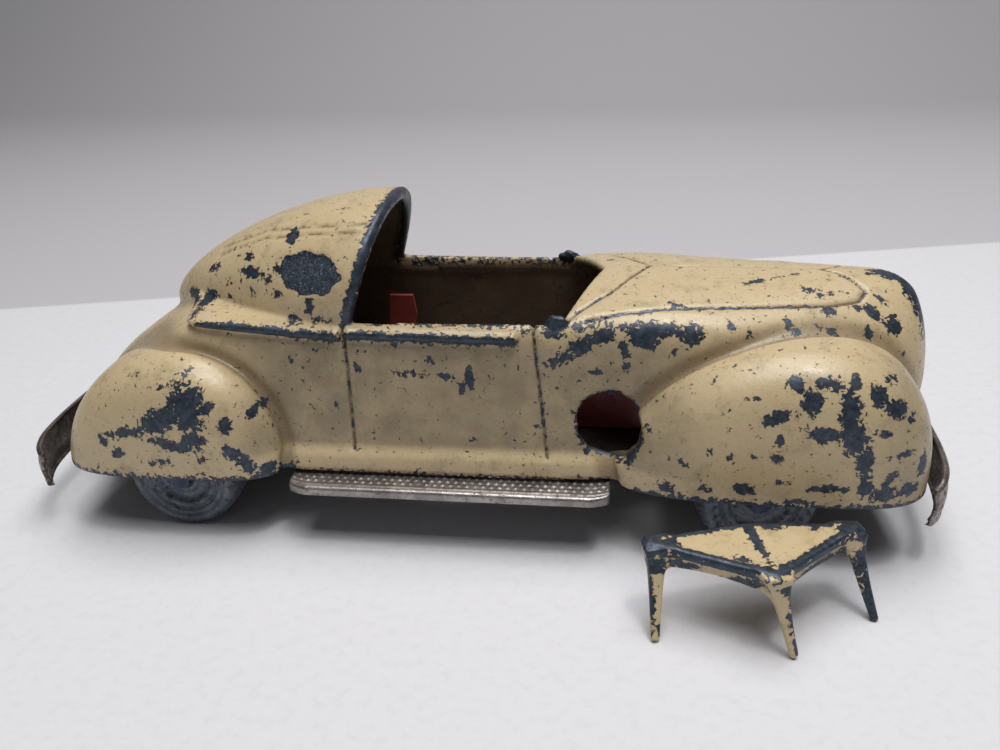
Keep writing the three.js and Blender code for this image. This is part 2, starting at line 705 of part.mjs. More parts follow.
const car = new THREE.Group();
car.add(part("body_shell", bodyShell(), CREAM));
car.add(part("chassis_plate", chassisPlate(), TIN));
POSTS.forEach(([x], i) => {
  car.add(part(["rear_body_screw", "front_body_screw"][i], bodyScrew(x), STEEL));
});
for (const [name, side] of [["left", 1], ["right", -1]]) {
  car.add(part(`running_board_${name}`, runningBoard(side), PLATED));
  BOARD_RIVETS.forEach((x, i) => {
    const high = PLATE_Z + PLATE_T + 0.5;
    const fixing = rivet(x, side * 17, BOARD.top - BOARD.t - 0.5, high, 0.8, 1.5, 0.4);
    car.add(part(`${["rear", "front"][i]}_board_rivet_${name}`, fixing, STEEL));
  });
}
car.add(part("front_bumper", bumper(1), PLATED));
car.add(part("rear_bumper", bumper(-1), PLATED));
car.add(part("front_bumper_rivet", bumperRivet(1), STEEL));
car.add(part("rear_bumper_rivet", bumperRivet(-1), STEEL));

const gears = gearLine();
car.add(group(REAR_X, 0, WHEEL_R, 0, [
  part("rear_axle", axle(), STEEL),
  wheelMesh("rear_wheel_left", 1, ZINC),
  wheelMesh("rear_wheel_right", -1, ZINC),
  part("axle_pinion", axlePinion(gears[0]), BRASS),
]));
car.add(group(STEER_X, 0, 0, STEER_REST, [
  part("steering_bracket", frontBracket(), TIN),
  group(0, 0, WHEEL_R, 0, [
    part("front_axle", axle(), STEEL),
    wheelMesh("front_wheel_left", 1, ZINC),
    wheelMesh("front_wheel_right", -1, ZINC),
  ]),
]));
car.add(group(STEER_X, 0, 0, 0, [part("king_pin", kingPin(), STEEL)]));

const holes = motorHoles(gears);
car.add(part("motor_plate_right", motorPlate(RIGHT_PLATE_Y, 24, holes), RED));
car.add(part("motor_plate_left", motorPlate(LEFT_PLATE_Y, 22, holes), RED));
PILLARS.forEach((at, i) => car.add(onArbor(at, [part(`motor_pillar_${i + 1}`, pillar(), STEEL)])));
TRAIN.forEach((letter, i) => {
  const gear = gears[i + 1];
  car.add(onArbor(gear.at, [part(`train_wheel_${letter}`, trainWheel(gear), BRASS)]));
});
car.add(onArbor(gears.at(-1).at, [
  part("great_wheel", greatWheel(gears.at(-1)), BRASS),
  part("winding_arbor", windingArbor(), STEEL),
  part("mainspring", mainspring(), SPRING),
]));
car.add(onArbor([LEVER.x, LEVER.z], [
  part("stop_lever", stopLever(), RED),
  part("lever_pin", leverPin(), STEEL),
]));
car.add(group(SCREEN.x, SCREEN.y, 0, SCREEN.turn, [
  part("windscreen_frame", windscreenFrame(), CREAM),
]));

export default car;
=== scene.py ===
# The looks of a worn die-cast toy coupe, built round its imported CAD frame.
# Shapes are worked out in millimetres in the CAD's frame (+X front, +Y left, +Z up) and scaled to metres.
import json
import math

import bpy
import numpy as np
from mathutils import Matrix, Vector


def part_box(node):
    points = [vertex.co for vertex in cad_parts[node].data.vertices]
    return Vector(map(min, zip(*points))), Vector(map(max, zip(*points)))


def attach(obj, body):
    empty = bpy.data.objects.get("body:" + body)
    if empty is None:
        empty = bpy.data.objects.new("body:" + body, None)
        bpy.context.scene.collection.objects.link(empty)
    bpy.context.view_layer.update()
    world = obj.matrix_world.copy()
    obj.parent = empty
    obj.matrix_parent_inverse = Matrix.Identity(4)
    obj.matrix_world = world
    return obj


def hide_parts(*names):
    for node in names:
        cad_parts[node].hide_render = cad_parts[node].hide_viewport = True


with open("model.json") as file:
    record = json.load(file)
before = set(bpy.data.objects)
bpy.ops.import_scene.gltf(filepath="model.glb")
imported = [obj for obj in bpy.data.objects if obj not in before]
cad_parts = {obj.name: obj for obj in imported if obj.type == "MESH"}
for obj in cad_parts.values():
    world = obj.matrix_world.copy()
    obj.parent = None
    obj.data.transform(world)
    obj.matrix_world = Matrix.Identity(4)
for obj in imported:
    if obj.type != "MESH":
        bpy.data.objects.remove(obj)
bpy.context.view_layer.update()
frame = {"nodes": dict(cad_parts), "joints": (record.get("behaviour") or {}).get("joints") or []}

MM = 0.001
JOINTS = {joint["name"]: joint for joint in frame["joints"]}


def joint_at(name):
    """A joint's place in millimetres."""
    return Vector(JOINTS[name]["pos_m"]) / MM


def cad_box(node):
    """A CAD node's lowest and highest corner in millimetres."""
    low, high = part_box(node)
    return Vector(low) / MM, Vector(high) / MM


# ---------------------------------------------------------------- sizes shared with the CAD

WALL = 1.3
BODY_LOW = cad_box("body_shell")[0].z
BELT_Z = 31.5
TAIL_X = -63.2
NOSE_X = 65.4
LIP_X = -15.8
LIP_LEAN = 0.3
COWL_CORNER = 13.9
COWL_APEX = 19.3
KEY_HOLE_R = 4.35
KEY_HOLE = joint_at("mainspring_wind") - Vector((0, 0, 0.8))
COCKPIT_SIDE = 15.2
COCKPIT_FLOOR = 24
HOOD_HOLLOW_END = -9
BONNET_LOW = 27
BEAD = {"inset": 1.05, "back": 0.3, "r": 0.85, "low": 30.5}
POSTS_X = (-55, 57)
POST = {"r": 2.4, "low": 12.4, "bore_r": 1.3, "bore_top": 20}
TORN_POST = (13.2, 15.2, 31.5)
FRONT_WING = {"at": (46, 12), "ahead": 17.2, "behind": 26.5, "high": 18, "inner": 13, "wide": 12.8,
              "powers": (2.5, 1.75, 3.6)}
REAR_WING = {"at": (-40.5, 9), "ahead": 16.2, "behind": 19.9, "high": 18.7, "inner": 12, "wide": 13.7,
             "powers": (2, 2, 4)}
ROOF = {"x": -14, "z": 29, "back": 34.5, "high": 16.6, "wide": 17, "floor": 26, "side_power": 1.6,
        "across_power": 2.5}
FRONT_WHEEL_TURN = 8

# ---------------------------------------------------------------- shape functions


def curve(points):
    """A smooth monotone curve through (x, value) points, flat beyond its ends."""
    xs, vs = (np.array(column, dtype=np.float32) for column in zip(*points))
    rise = np.diff(vs) / np.diff(xs)
    slope = np.concatenate([rise[:1], np.zeros(len(xs) - 2), rise[-1:]])
    product = rise[:-1] * rise[1:]
    both = rise[:-1] + rise[1:]
    slope[1:-1] = np.where(product > 0, 2 * product / np.where(product > 0, both, 1), 0)

    def value(x):
        x = np.clip(x, xs[0], xs[-1])
        i = np.clip(np.searchsorted(xs, x, side="right") - 1, 0, len(xs) - 2)
        h = xs[i + 1] - xs[i]
        t = (x - xs[i]) / h
        near = vs[i] * (1 + 2 * t) * (1 - t) ** 2 + vs[i + 1] * t * t * (3 - 2 * t)
        return near + h * (slope[i] * t * (1 - t) ** 2 - slope[i + 1] * t * t * (1 - t))

    return value


ridge_height = curve([
    (-63, 10), (-61.5, 17), (-58.5, 20.8), (-54, 24.2), (-48, 28), (-42, 30.8), (-36, 32),
    (-16, 32), (8, 32.4), (19, 34.3), (27, 34.7), (42, 34.5), (58, 34.2), (63, 32.6), (66, 28),
])
half_width = curve([
    (-64, 9), (-58, 12.6), (-50, 15.6), (-41, 17.3), (-16, 16.9), (14, 16.6), (30, 16.2),
    (44, 15.2), (54, 13.2), (60, 10.6), (64, 7.4), (66, 5.5),
])
crown_drop = curve([
    (-62, 4), (-45, 3), (-36, 1), (8, 1), (16, 2.6), (26, 3), (40, 4.4), (50, 5.4), (60, 7),
])
side_flare = curve([(-62, 2.5), (-45, 3.5), (-16, 4.6), (20, 4.6), (40, 3.5), (64, 3)])


def smooth_max(a, b, k):
    h = np.maximum(k - np.abs(a - b), 0) / k
    return np.maximum(a, b) + h * h * k / 4


def smooth_min(a, b, k):
    return -smooth_max(-a, -b, k)


def ease(value, start, end):
    """0 before start, 1 after end, smooth between them."""
    t = np.clip((value - start) / (end - start), 0, 1)
    return t * t * (3 - 2 * t)


def side_width(x, z):
    """Half width of the body's side at a height: a flare down to a rolled sill."""
    down = np.clip((BELT_Z - z) / 21, 0, 1)
    return half_width(x) + side_flare(x) * (0.82 * down ** 1.2 + 0.18 * ease(z, 14.2, 12.2))


def hull(x, y, z):
    wide = half_width(x)
    side = np.abs(y) - side_width(x, z)
    deck = z - ridge_height(x) + crown_drop(x) * np.minimum(np.abs(y) / wide, 1.3) ** 1.9
    nose = x - NOSE_X + 0.012 * (z - 24) ** 2
    return smooth_max(smooth_max(side, deck, 3), smooth_max(nose, TAIL_X - x, 1), 4)


def wing(x, y, z, at, ahead, behind, high, inner, wide, powers):
    """A pontoon bulging from the body's side: round in side view and square-shouldered across."""
    front = x > at[0]
    along = np.abs(x - at[0]) / np.where(front, ahead, behind)
    power = np.where(front, powers[0], powers[1])
    up = np.maximum(z - at[1], 0) / high
    side = along ** power + up ** power
    out = np.maximum(np.abs(np.abs(y) - inner), 0) / wide
    return ((side ** (powers[2] / power) + out ** powers[2]) ** (1 / powers[2]) - 1) * wide


def wings(x, y, z):
    """The four wings: negative inside."""
    return np.minimum(wing(x, y, z, **FRONT_WING), wing(x, y, z, **REAR_WING))


def crease(x, y, z):
    """1 along the line where a wing meets the body, 0 away from it."""
    return np.exp(-(hull(x, y, z) ** 2 + wings(x, y, z) ** 2) / 0.9 ** 2)


def casting(x, y, z):
    """Body and wings without the hood: negative inside."""
    return smooth_min(hull(x, y, z), wings(x, y, z), 0.7)


def roof(x, y, z):
    """The fixed hood behind the seats."""
    back = np.maximum(ROOF["x"] - x, 0) / ROOF["back"]
    up = np.maximum(z - ROOF["z"], 0) / ROOF["high"]
    out = np.abs(y) / ROOF["wide"]
    side, over = ROOF["side_power"], ROOF["across_power"]
    across = up ** over + out ** over
    dome = ((back ** side + across ** (side / over)) ** (1 / side) - 1) * ROOF["high"]
    return np.maximum(dome, ROOF["floor"] - z)


# ---------------------------------------------------------------- grooves, ribs and worn places

BONNET_PANEL = [(17, 15), (32.5, 12), (50, 9), (54, 7.5), (55.3, 5.5), (52.6, 1.5), (50.2, 0)]
BONNET_SEAM = [(14.3, 15), (20.3, 9), (26, 0)]
BONNET_CREASE = [(26, 0), (50, 0)]
ROOF_SEAM = [(-37.5, 38.4), (-34.8, 39.5), (-29.2, 41.6), (-21.7, 42.8), (-13, 43.5)]
DOOR_SEAMS = [[(-16.2, 30.8), (-15.4, 13.4)], [(10.1, 31), (12.2, 13)]]
BELT_RIBS = [((-40.6, 31.6), (-17.2, 29.8)), ((-15.4, 30.1), (7.4, 29.7))]
ROOF_PATCH = {"x": -20.9, "z": 37.6, "long": 4.6, "high": 2.7}


def to_line(a, b, points):
    """Distance from (a, b) to a chain of straight segments."""
    best = np.full(np.broadcast(a, b).shape, 1e3, dtype=np.float32)
    for (a0, b0), (a1, b1) in zip(points, points[1:]):
        da, db = a1 - a0, b1 - b0
        t = np.clip(((a - a0) * da + (b - b0) * db) / (da * da + db * db), 0, 1)
        best = np.minimum(best, np.hypot(a - a0 - t * da, b - b0 - t * db))
    return best


def grooves(x, y, z):
    """1 in the middle of a seam or panel line, 0 away from it."""
    wide = np.abs(y)
    bonnet = np.minimum(to_line(x, wide, BONNET_PANEL), to_line(x, wide, BONNET_SEAM))
    bonnet = np.minimum(bonnet, to_line(x, wide, BONNET_CREASE) + 0.12)
    bonnet = np.where((z > BONNET_LOW) & (x > 12), bonnet, 9)
    doors = np.minimum(to_line(x, z, DOOR_SEAMS[0]), to_line(x, z, DOOR_SEAMS[1]))
    doors = np.where((wide > 14) & (z < 31), doors, 9)
    seam = np.minimum(to_line(x, z, ROOF_SEAM), to_line(x, z + 0.75, ROOF_SEAM)) + 0.16
    seam = np.where((z > 36) & (x < LIP_X + LIP_LEAN * (z - 33)), seam, 9)
    nearest = np.minimum(np.minimum(bonnet, doors), seam)
    return np.exp(-(nearest / 0.24) ** 2)


def belt_rib(x, z, surface, ends):
    """A raised moulding that follows the casting's surface along the side, round-ended."""
    (x0, z0), (x1, z1) = ends
    t = np.clip((x - x0) / (x1 - x0), 0, 1)
    out = surface - 0.15
    past = x - (x0 + t * (x1 - x0))
    return np.sqrt(past ** 2 + out ** 2 + (z - z0 - t * (z1 - z0)) ** 2) - 0.92


def roof_patch(x, y, z):
    """1 in the filed oval on the hood's right side, falling to 0 at its rim."""
    wobble = 0.05 * np.sin(2.1 * x) + 0.04 * np.sin(3.3 * z + 1)
    reach = np.hypot((x - ROOF_PATCH["x"]) / ROOF_PATCH["long"], (z - ROOF_PATCH["z"]) / ROOF_PATCH["high"])
    return np.where(y < -6, 1 - ease(reach + wobble, 0.93, 1.02), 0)


def filed(x, y, z):
    """Rough marks left in the oval, in millimetres of depth."""
    a = np.sin(5.1 * x + 2.2 * z) * np.sin(4.3 * z - 3.1 * x)
    b = np.sin(9.7 * x - 6.1 * z + 2 * y) * np.sin(8.9 * z + 5.3 * x)
    return 0.07 * a + 0.05 * b


def stub(x, y, z, at, size):
    """A torn stump where a windscreen post broke off."""
    ragged = 0.12 * np.sin(4 * x + 3 * y) + 0.1 * np.sin(5 * z + 2 * x)
    reach = np.sqrt(sum(((c - a) / s) ** 2 for c, a, s in zip((x, np.abs(y), z), at, size)))
    return (reach + ragged - 1) * min(size)


# ---------------------------------------------------------------- body casting


def screw_posts(x, y, z, body):
    """The two bored posts that take the chassis screws."""
    from_axis = np.minimum(*(np.hypot(x - at, y) for at in POSTS_X))
    posts = np.maximum(np.maximum(from_axis - POST["r"], POST["low"] - z), body + 0.5)
    bores = from_axis - POST["bore_r"]
    return smooth_max(posts, -np.maximum(bores, z - POST["bore_top"]), 0.2)


def body_field(x, y, z):
    """The whole casting, hollow and open below: negative inside the metal."""
    body = casting(x, y, z) + 0.02
    hood = roof(x, y, z) + 0.02
    lip = (x - LIP_X - LIP_LEAN * (z - 31)) / math.hypot(1, LIP_LEAN)
    outside = smooth_min(body, smooth_max(hood, lip, 0.6), 0.9)
    plain = outside
    for ends in BELT_RIBS:
        outside = smooth_min(outside, belt_rib(x, z, plain, ends), 0.4)
    outside = outside + 0.42 * grooves(x, y, z) + 0.5 * crease(x, y, z)
    patch = roof_patch(x, y, z)
    outside = outside + patch * (0.3 + filed(x, y, z))
    hollow = np.minimum(body + WALL, np.maximum(hood + WALL, x - HOOD_HOLLOW_END))
    vee = x - COWL_CORNER - (COWL_APEX - COWL_CORNER) * (1 - np.abs(y) / COCKPIT_SIDE)
    opening = smooth_max(smooth_max(vee, np.abs(y) - COCKPIT_SIDE, 0.8),
                         np.maximum(COCKPIT_FLOOR - z, -lip), 0.3)
    shell = smooth_max(outside, -np.minimum(hollow, opening), 0.5)
    bead = np.hypot(hood + BEAD["inset"], lip + BEAD["back"]) - BEAD["r"]
    bead = np.where(z > BEAD["low"], bead, 9)
    shell = smooth_min(shell, bead, 0.4)
    shell = smooth_min(shell, stub(x, y, z, TORN_POST, (1.4, 0.6, 0.8)), 0.5)
    shell = smooth_min(shell, screw_posts(x, y, z, body), 0.6)
    angle = np.arctan2(z - KEY_HOLE.z, x - KEY_HOLE.x)
    rim = KEY_HOLE_R + 0.1 * np.sin(5 * angle + 1) + 0.06 * np.sin(11 * angle)
    key = np.maximum(np.hypot(x - KEY_HOLE.x, z - KEY_HOLE.z) - rim, y + 10)
    shell = smooth_max(shell, -key, 0.5)
    return smooth_max(shell, BODY_LOW - z, 0.5)


# ---------------------------------------------------------------- meshing


def sample(field, low, high, step):
    """The field on a grid: its values and the first point."""
    axes = [np.arange(a, b + step, step, dtype=np.float32) for a, b in zip(low, high)]
    x, y, z = np.meshgrid(*axes, indexing="ij", sparse=True)
    slabs = [field(x[i:i + 24], y, z).astype(np.float32) for i in range(0, len(axes[0]), 24)]
    return np.concatenate(slabs), np.array([axis[0] for axis in axes])


def crossing_cells(values):
    """Cells the surface passes through, each with one vertex at the mean of its edge crossings."""
    inside = values < 0
    count = np.zeros([n - 1 for n in values.shape], dtype=np.int8)
    corners = [(i, j, k) for i in (0, 1) for j in (0, 1) for k in (0, 1)]
    for i, j, k in corners:
        count += inside[i:i + count.shape[0], j:j + count.shape[1], k:k + count.shape[2]]
    cells = np.argwhere((count > 0) & (count < 8))
    at = {c: values[tuple((cells + c).T)] for c in corners}
    total = np.zeros(cells.shape, dtype=np.float32)
    hits = np.zeros(len(cells), dtype=np.float32)
    for start in corners:
        for axis in range(3):
            if start[axis]:
                continue
            end = tuple(1 if a == axis else c for a, c in enumerate(start))
            first, last = at[start], at[end]
            crossed = (first < 0) != (last < 0)
            t = np.where(crossed, first / np.where(crossed, first - last, 1), 0)
            point = np.array(start, dtype=np.float32) + t[:, None] * (np.array(end) - np.array(start))
            total += np.where(crossed[:, None], point, 0)
            hits += crossed
    return cells, cells + total / hits[:, None]


def net_faces(values, cells):
    """A quad round every grid edge whose ends lie on opposite sides of the surface."""
    index = np.full([n - 1 for n in values.shape], -1, dtype=np.int32)
    index[tuple(cells.T)] = np.arange(len(cells))
    inside = values < 0
    faces = []
    for axis in range(3):
        b, c = (axis + 1) % 3, (axis + 2) % 3
        first = np.take(inside, range(values.shape[axis] - 1), axis)
        last = np.take(inside, range(1, values.shape[axis]), axis)
        edges = np.argwhere(first != last)
        edges = edges[(edges[:, b] > 0) & (edges[:, c] > 0)]
        edges = edges[(edges[:, b] < index.shape[b]) & (edges[:, c] < index.shape[c])]
        out = first[tuple(edges.T)]
        ring = []
        for shift_b, shift_c in ((1, 1), (0, 1), (0, 0), (1, 0)):
            place = edges.copy()
            place[:, b] -= shift_b
            place[:, c] -= shift_c
            ring.append(index[tuple(place.T)])
        quads = np.stack(ring, axis=1)
        faces.append(np.where(out[:, None], quads, quads[:, ::-1]))
    return np.concatenate(faces)


def slope(field, points, reach=0.05):
    """The field's gradient by differences."""
    parts = []
    for axis in range(3):
        shift = np.zeros(3, dtype=np.float32)
        shift[axis] = reach
        ahead = field(*(points + shift).T)
        behind = field(*(points - shift).T)
        parts.append((ahead - behind) / (2 * reach))
    return np.stack(parts, axis=1)


def skin(field, low, high, step):
    """Vertices in millimetres and quads of the surface where the field is 0."""
    values, origin = sample(field, low, high, step)
    cells, places = crossing_cells(values)
    points = (origin + places * step).astype(np.float32)
    for _ in range(2):
        gradient = slope(field, points)
        size = np.maximum((gradient ** 2).sum(axis=1), 0.3)
        move = -(field(*points.T) / size)[:, None] * gradient
        points = points + np.clip(move, -0.35 * step, 0.35 * step)
    return points, net_faces(values, cells)


def mesh_object(name, points, faces, place=None):
    """A smooth-shaded mesh from millimetre points and quads."""
    mesh = bpy.data.meshes.new(name)
    mesh.vertices.add(len(points))
    mesh.vertices.foreach_set("co", (np.asarray(points) * MM).astype(np.float32).ravel())
    mesh.loops.add(faces.size)
    mesh.loops.foreach_set("vertex_index", faces.astype(np.int32).ravel())
    mesh.polygons.add(len(faces))
    mesh.polygons.foreach_set("loop_start", np.arange(0, faces.size, faces.shape[1], dtype=np.int32))
    mesh.update(calc_edges=True)
    mesh.validate()
    mesh.polygons.foreach_set("use_smooth", np.ones(len(mesh.polygons), dtype=bool))
    if place is not None:
        mesh.transform(place)
    piece = bpy.data.objects.new(name, mesh)
    bpy.context.scene.collection.objects.link(piece)
    return piece


def add_attribute(piece, name, values):
    layer = piece.data.attributes.new(name, "FLOAT", "POINT")
    layer.data.foreach_set("value", np.asarray(values, dtype=np.float32).ravel())


# ---------------------------------------------------------------- where the paint has gone

# Chips on the near side: X, Z, half length, half height, tilt in degrees.
SIDE_CHIPS = [
    # hood side
    (-30.5, 36.9, 2.2, 1.0, 0), (-31.3, 38.6, 1.0, 0.6, 0), (-38, 36.2, 1.4, 0.7, 35),
    (-38.4, 32.6, 1.8, 1.1, 40), (-34.6, 35, 0.9, 0.5, 50), (-27.3, 36.2, 0.9, 0.8, 0),
    (-26, 34.6, 0.8, 0.8, 0), (-30.4, 34.3, 1.1, 0.5, -50), (-34.4, 33, 0.9, 0.4, -30),
    (-24.4, 41.6, 1.1, 1.1, 0), (-21, 33.4, 0.8, 1.4, 0), (-25.8, 37.8, 1.2, 0.9, 0),
    (-23.3, 31.4, 1.3, 0.6, 0), (-19.6, 31.5, 1.8, 0.6, 0), (-41.8, 31.9, 1.8, 1.2, 0),
    # rear wing
    (-37.2, 21.3, 3.0, 4.2, 10), (-41.2, 19.6, 4.0, 2.0, 22), (-46.8, 17.6, 4.4, 0.9, 14),
    (-40, 15.9, 4.4, 1.0, -10), (-36.6, 16.8, 2.6, 1.1, 0), (-32.2, 18.8, 1.1, 1.5, 0),
    (-28.8, 19.8, 1.0, 0.9, 20), (-31.6, 14.7, 2.0, 1.1, -35), (-29.9, 12.9, 1.2, 2.1, 20),
    (-36, 13.7, 2.2, 0.6, 0), (-27.4, 11.6, 1.1, 1.1, 0), (-37.3, 25.9, 0.9, 0.4, 15),
    (-40.9, 24, 0.6, 0.5, 0), (-45, 25.2, 1.0, 0.3, 15), (-41.7, 13.1, 1.8, 0.5, 0),
    (-48.6, 14.3, 1.2, 0.9, 30), (-50.5, 16, 0.9, 1.1, 50), (-34.4, 21.2, 0.8, 1.3, -40),
    # doors and quarter
    (-14.4, 25, 0.6, 1.2, 30), (-14, 27.5, 1.2, 0.4, -10), (-6.3, 24.3, 2.6, 0.6, 0),
    (-1.8, 24, 2.0, 0.6, -5), (1.4, 24, 0.9, 1.9, 0), (0.3, 22.4, 0.7, 1.0, 0),
    (-4, 26.3, 1.0, 0.45, 0), (-1.8, 26.5, 0.5, 0.4, 0), (-9, 28.4, 0.5, 0.6, 0),
    (-21.4, 26, 0.5, 0.5, 0), (-24, 25.9, 0.5, 0.6, 0), (-20.4, 27.4, 0.6, 0.4, -40),
    (1.6, 15.4, 0.6, 0.5, 0), (2.2, 28.8, 1.4, 0.8, 0), (-17.8, 19.5, 0.4, 0.6, 40),
    (6.2, 27.7, 0.5, 0.4, 0), (8.3, 25.6, 0.6, 0.4, -30), (11.3, 17.5, 0.9, 0.5, 0),
    # cowl and key hole
    (12.4, 30.2, 2.0, 0.8, 0), (14, 26.8, 2.4, 0.9, 22), (16.8, 28.6, 2.8, 1.3, 32),
    (19.4, 30, 2.0, 1.2, 20), (22.4, 28.2, 0.8, 1.6, 20), (26.3, 30.7, 5.0, 1.1, 0),
    (25.2, 29.3, 2.2, 1.2, 0), (31.2, 30.1, 1.9, 1.5, 0), (18.8, 25.2, 1.1, 0.7, 0),
    (22.8, 26, 0.5, 0.9, 0), (29, 27.7, 0.3, 0.8, 0), (15.8, 19.4, 0.5, 0.6, 0),
    (25.8, 19.4, 0.6, 0.5, 0), (23.4, 14.9, 0.6, 0.9, 20), (17.6, 14.2, 1.1, 0.6, -30),
    (13.6, 22.8, 1.0, 0.25, -10), (25.6, 23.5, 0.5, 0.3, 0), (20.3, 13.8, 1.6, 0.4, 0),
    # front wing
    (43.7, 26.8, 1.2, 1.1, 0), (45.6, 25, 1.5, 2.0, 0), (47.6, 27, 2.4, 0.9, 0),
    (50.8, 27, 0.8, 1.1, 0), (41.4, 22.8, 2.6, 1.1, 18), (50.1, 24.2, 1.5, 3.0, 0),
    (50.8, 20.8, 2.0, 2.8, 0), (47.2, 21, 2.8, 1.2, 0), (52.6, 17.4, 1.2, 3.2, 0),
    (53, 13.6, 1.1, 1.7, 0), (53.6, 25.6, 1.7, 1.3, -30), (55.7, 23.9, 1.8, 1.2, -30),
    (54.4, 21.1, 1.3, 0.6, -15), (57, 18, 2.2, 0.7, 15), (56, 14.8, 0.7, 1.5, -30),
    (55.8, 12.5, 2.6, 1.3, 0), (58.6, 12.9, 1.7, 1.3, 0), (48.8, 13.3, 3.4, 0.7, 5),
    (42, 20, 0.7, 1.0, 0), (41.8, 17.5, 0.8, 0.9, 0), (39.4, 17.6, 0.7, 0.4, 0),
    (36, 17.1, 0.5, 0.7, 0), (30.5, 15.8, 0.8, 0.5, -20), (33.5, 17.6, 0.5, 0.5, 0),
    (38, 21.6, 0.6, 0.3, 0), (38.4, 25, 0.8, 0.35, 0), (36.8, 27.6, 0.5, 0.35, 0),
    (42.8, 14, 1.2, 0.5, -15), (38.3, 12.7, 1.9, 0.9, -10), (28.5, 12, 1.6, 0.9, -15),
    (60.2, 16, 0.7, 1.9, 0), (58, 22.4, 0.8, 0.7, 0), (55.4, 27, 0.9, 0.6, -30),
    (33, 12.4, 1.0, 0.6, 0), (45, 11.2, 2.4, 0.6, 0),
]

# Chips seen from above on the bonnet: X, Y, half length, half width, tilt in degrees.
TOP_CHIPS = [
    (47.7, -6.3, 1.7, 0.7, 0), (48.8, -7.4, 0.6, 0.9, 0), (29.5, -12, 1.4, 0.7, -20),
    (25.1, -13.7, 1.3, 0.6, 10), (26.7, -10.1, 1.0, 0.35, -20), (40.6, -4.9, 1.9, 0.7, 25),
    (43.6, -3.5, 2.0, 0.3, 25), (46, -2.4, 1.1, 0.3, 25), (36.5, -10.2, 0.7, 0.35, 0),
    (37.8, -3, 0.5, 0.3, 0), (50.6, -7, 0.5, 0.4, 0), (52.3, -6, 0.6, 0.3, -30),
    (49.7, -10, 1.2, 0.8, 0), (36.4, -14.4, 0.6, 0.8, 0), (38.7, -14.6, 0.7, 0.5, 0),
    (44, -12.7, 0.7, 1.0, 0), (44.8, -13.5, 1.4, 0.6, 0), (48.2, -12.2, 0.5, 0.4, 0),
    (50, -12.5, 0.8, 0.7, 30), (54.8, -11.5, 0.9, 0.9, 0), (55.6, -8.8, 1.4, 1.2, -20),
    (53.7, -8.6, 1.2, 0.6, 0), (58.6, -9.4, 1.4, 1.7, 0), (57.2, -6.4, 1.3, 0.6, -40),
    (59.6, -0.6, 3.6, 1.8, 0), (62.6, -2, 2.2, 4.0, 0), (63.8, -4, 1.6, 2.6, 0),
    (20, 4, 1.2, 0.4, 10), (31, 6, 0.8, 0.5, 0), (42, 9, 1.4, 0.6, 20), (53, 8, 1.6, 0.9, 0),
    (34, 13, 2.0, 0.6, 0), (60, 6, 2.0, 1.6, 0), (47, 12.5, 1.0, 0.8, 0),
]

# Chips on the far side, which the near side doesn't mirror: X, Z, half length, half height, tilt.
FAR_CHIPS = [
    (-44, 19, 2.6, 2.0, 20), (-34, 23, 1.6, 1.0, -20), (-30, 14, 1.8, 1.4, 0),
    (-50, 14, 1.5, 1.8, 0), (-20, 26, 0.8, 0.5, 0), (-9, 22, 1.8, 0.5, 10), (-2, 27, 1.0, 0.6, 0),
    (4, 18, 0.7, 0.6, 0), (17, 29, 3.0, 1.1, 10), (27, 30.4, 4.0, 0.9, 0), (22, 20, 0.8, 0.8, 0),
    (33, 16, 1.4, 1.0, 0), (42, 25, 2.2, 1.6, -20), (50, 20, 2.0, 3.0, 10), (55, 24, 1.8, 1.3, -30),
    (57, 14, 2.2, 1.6, 0), (44, 13, 3.0, 0.8, 0), (-36, 36, 2.0, 1.0, 20), (-25, 37, 1.4, 1.6, 0),
    (-20, 33, 1.8, 0.8, 0),
]


def worn_at(a, b, chips):
    """How deep (a, b) lies inside the nearest chip: 1 in its middle, 0 at its rim, less outside."""
    best = np.full(a.shape, -2, dtype=np.float32)
    for ca, cb, long, high, tilt in chips:
        turn = math.radians(tilt)
        along = (a - ca) * math.cos(turn) + (b - cb) * math.sin(turn)
        over = (b - cb) * math.cos(turn) - (a - ca) * math.sin(turn)
        depth = (1 - np.hypot(along / long, over / high)) * min(high, 1.2) / 1.2
        best = np.maximum(best, depth)
    return best


def ridge_wear(distance, wide):
    """Wear that fades within a width of a proud edge."""
    return 1 - np.abs(distance) / wide


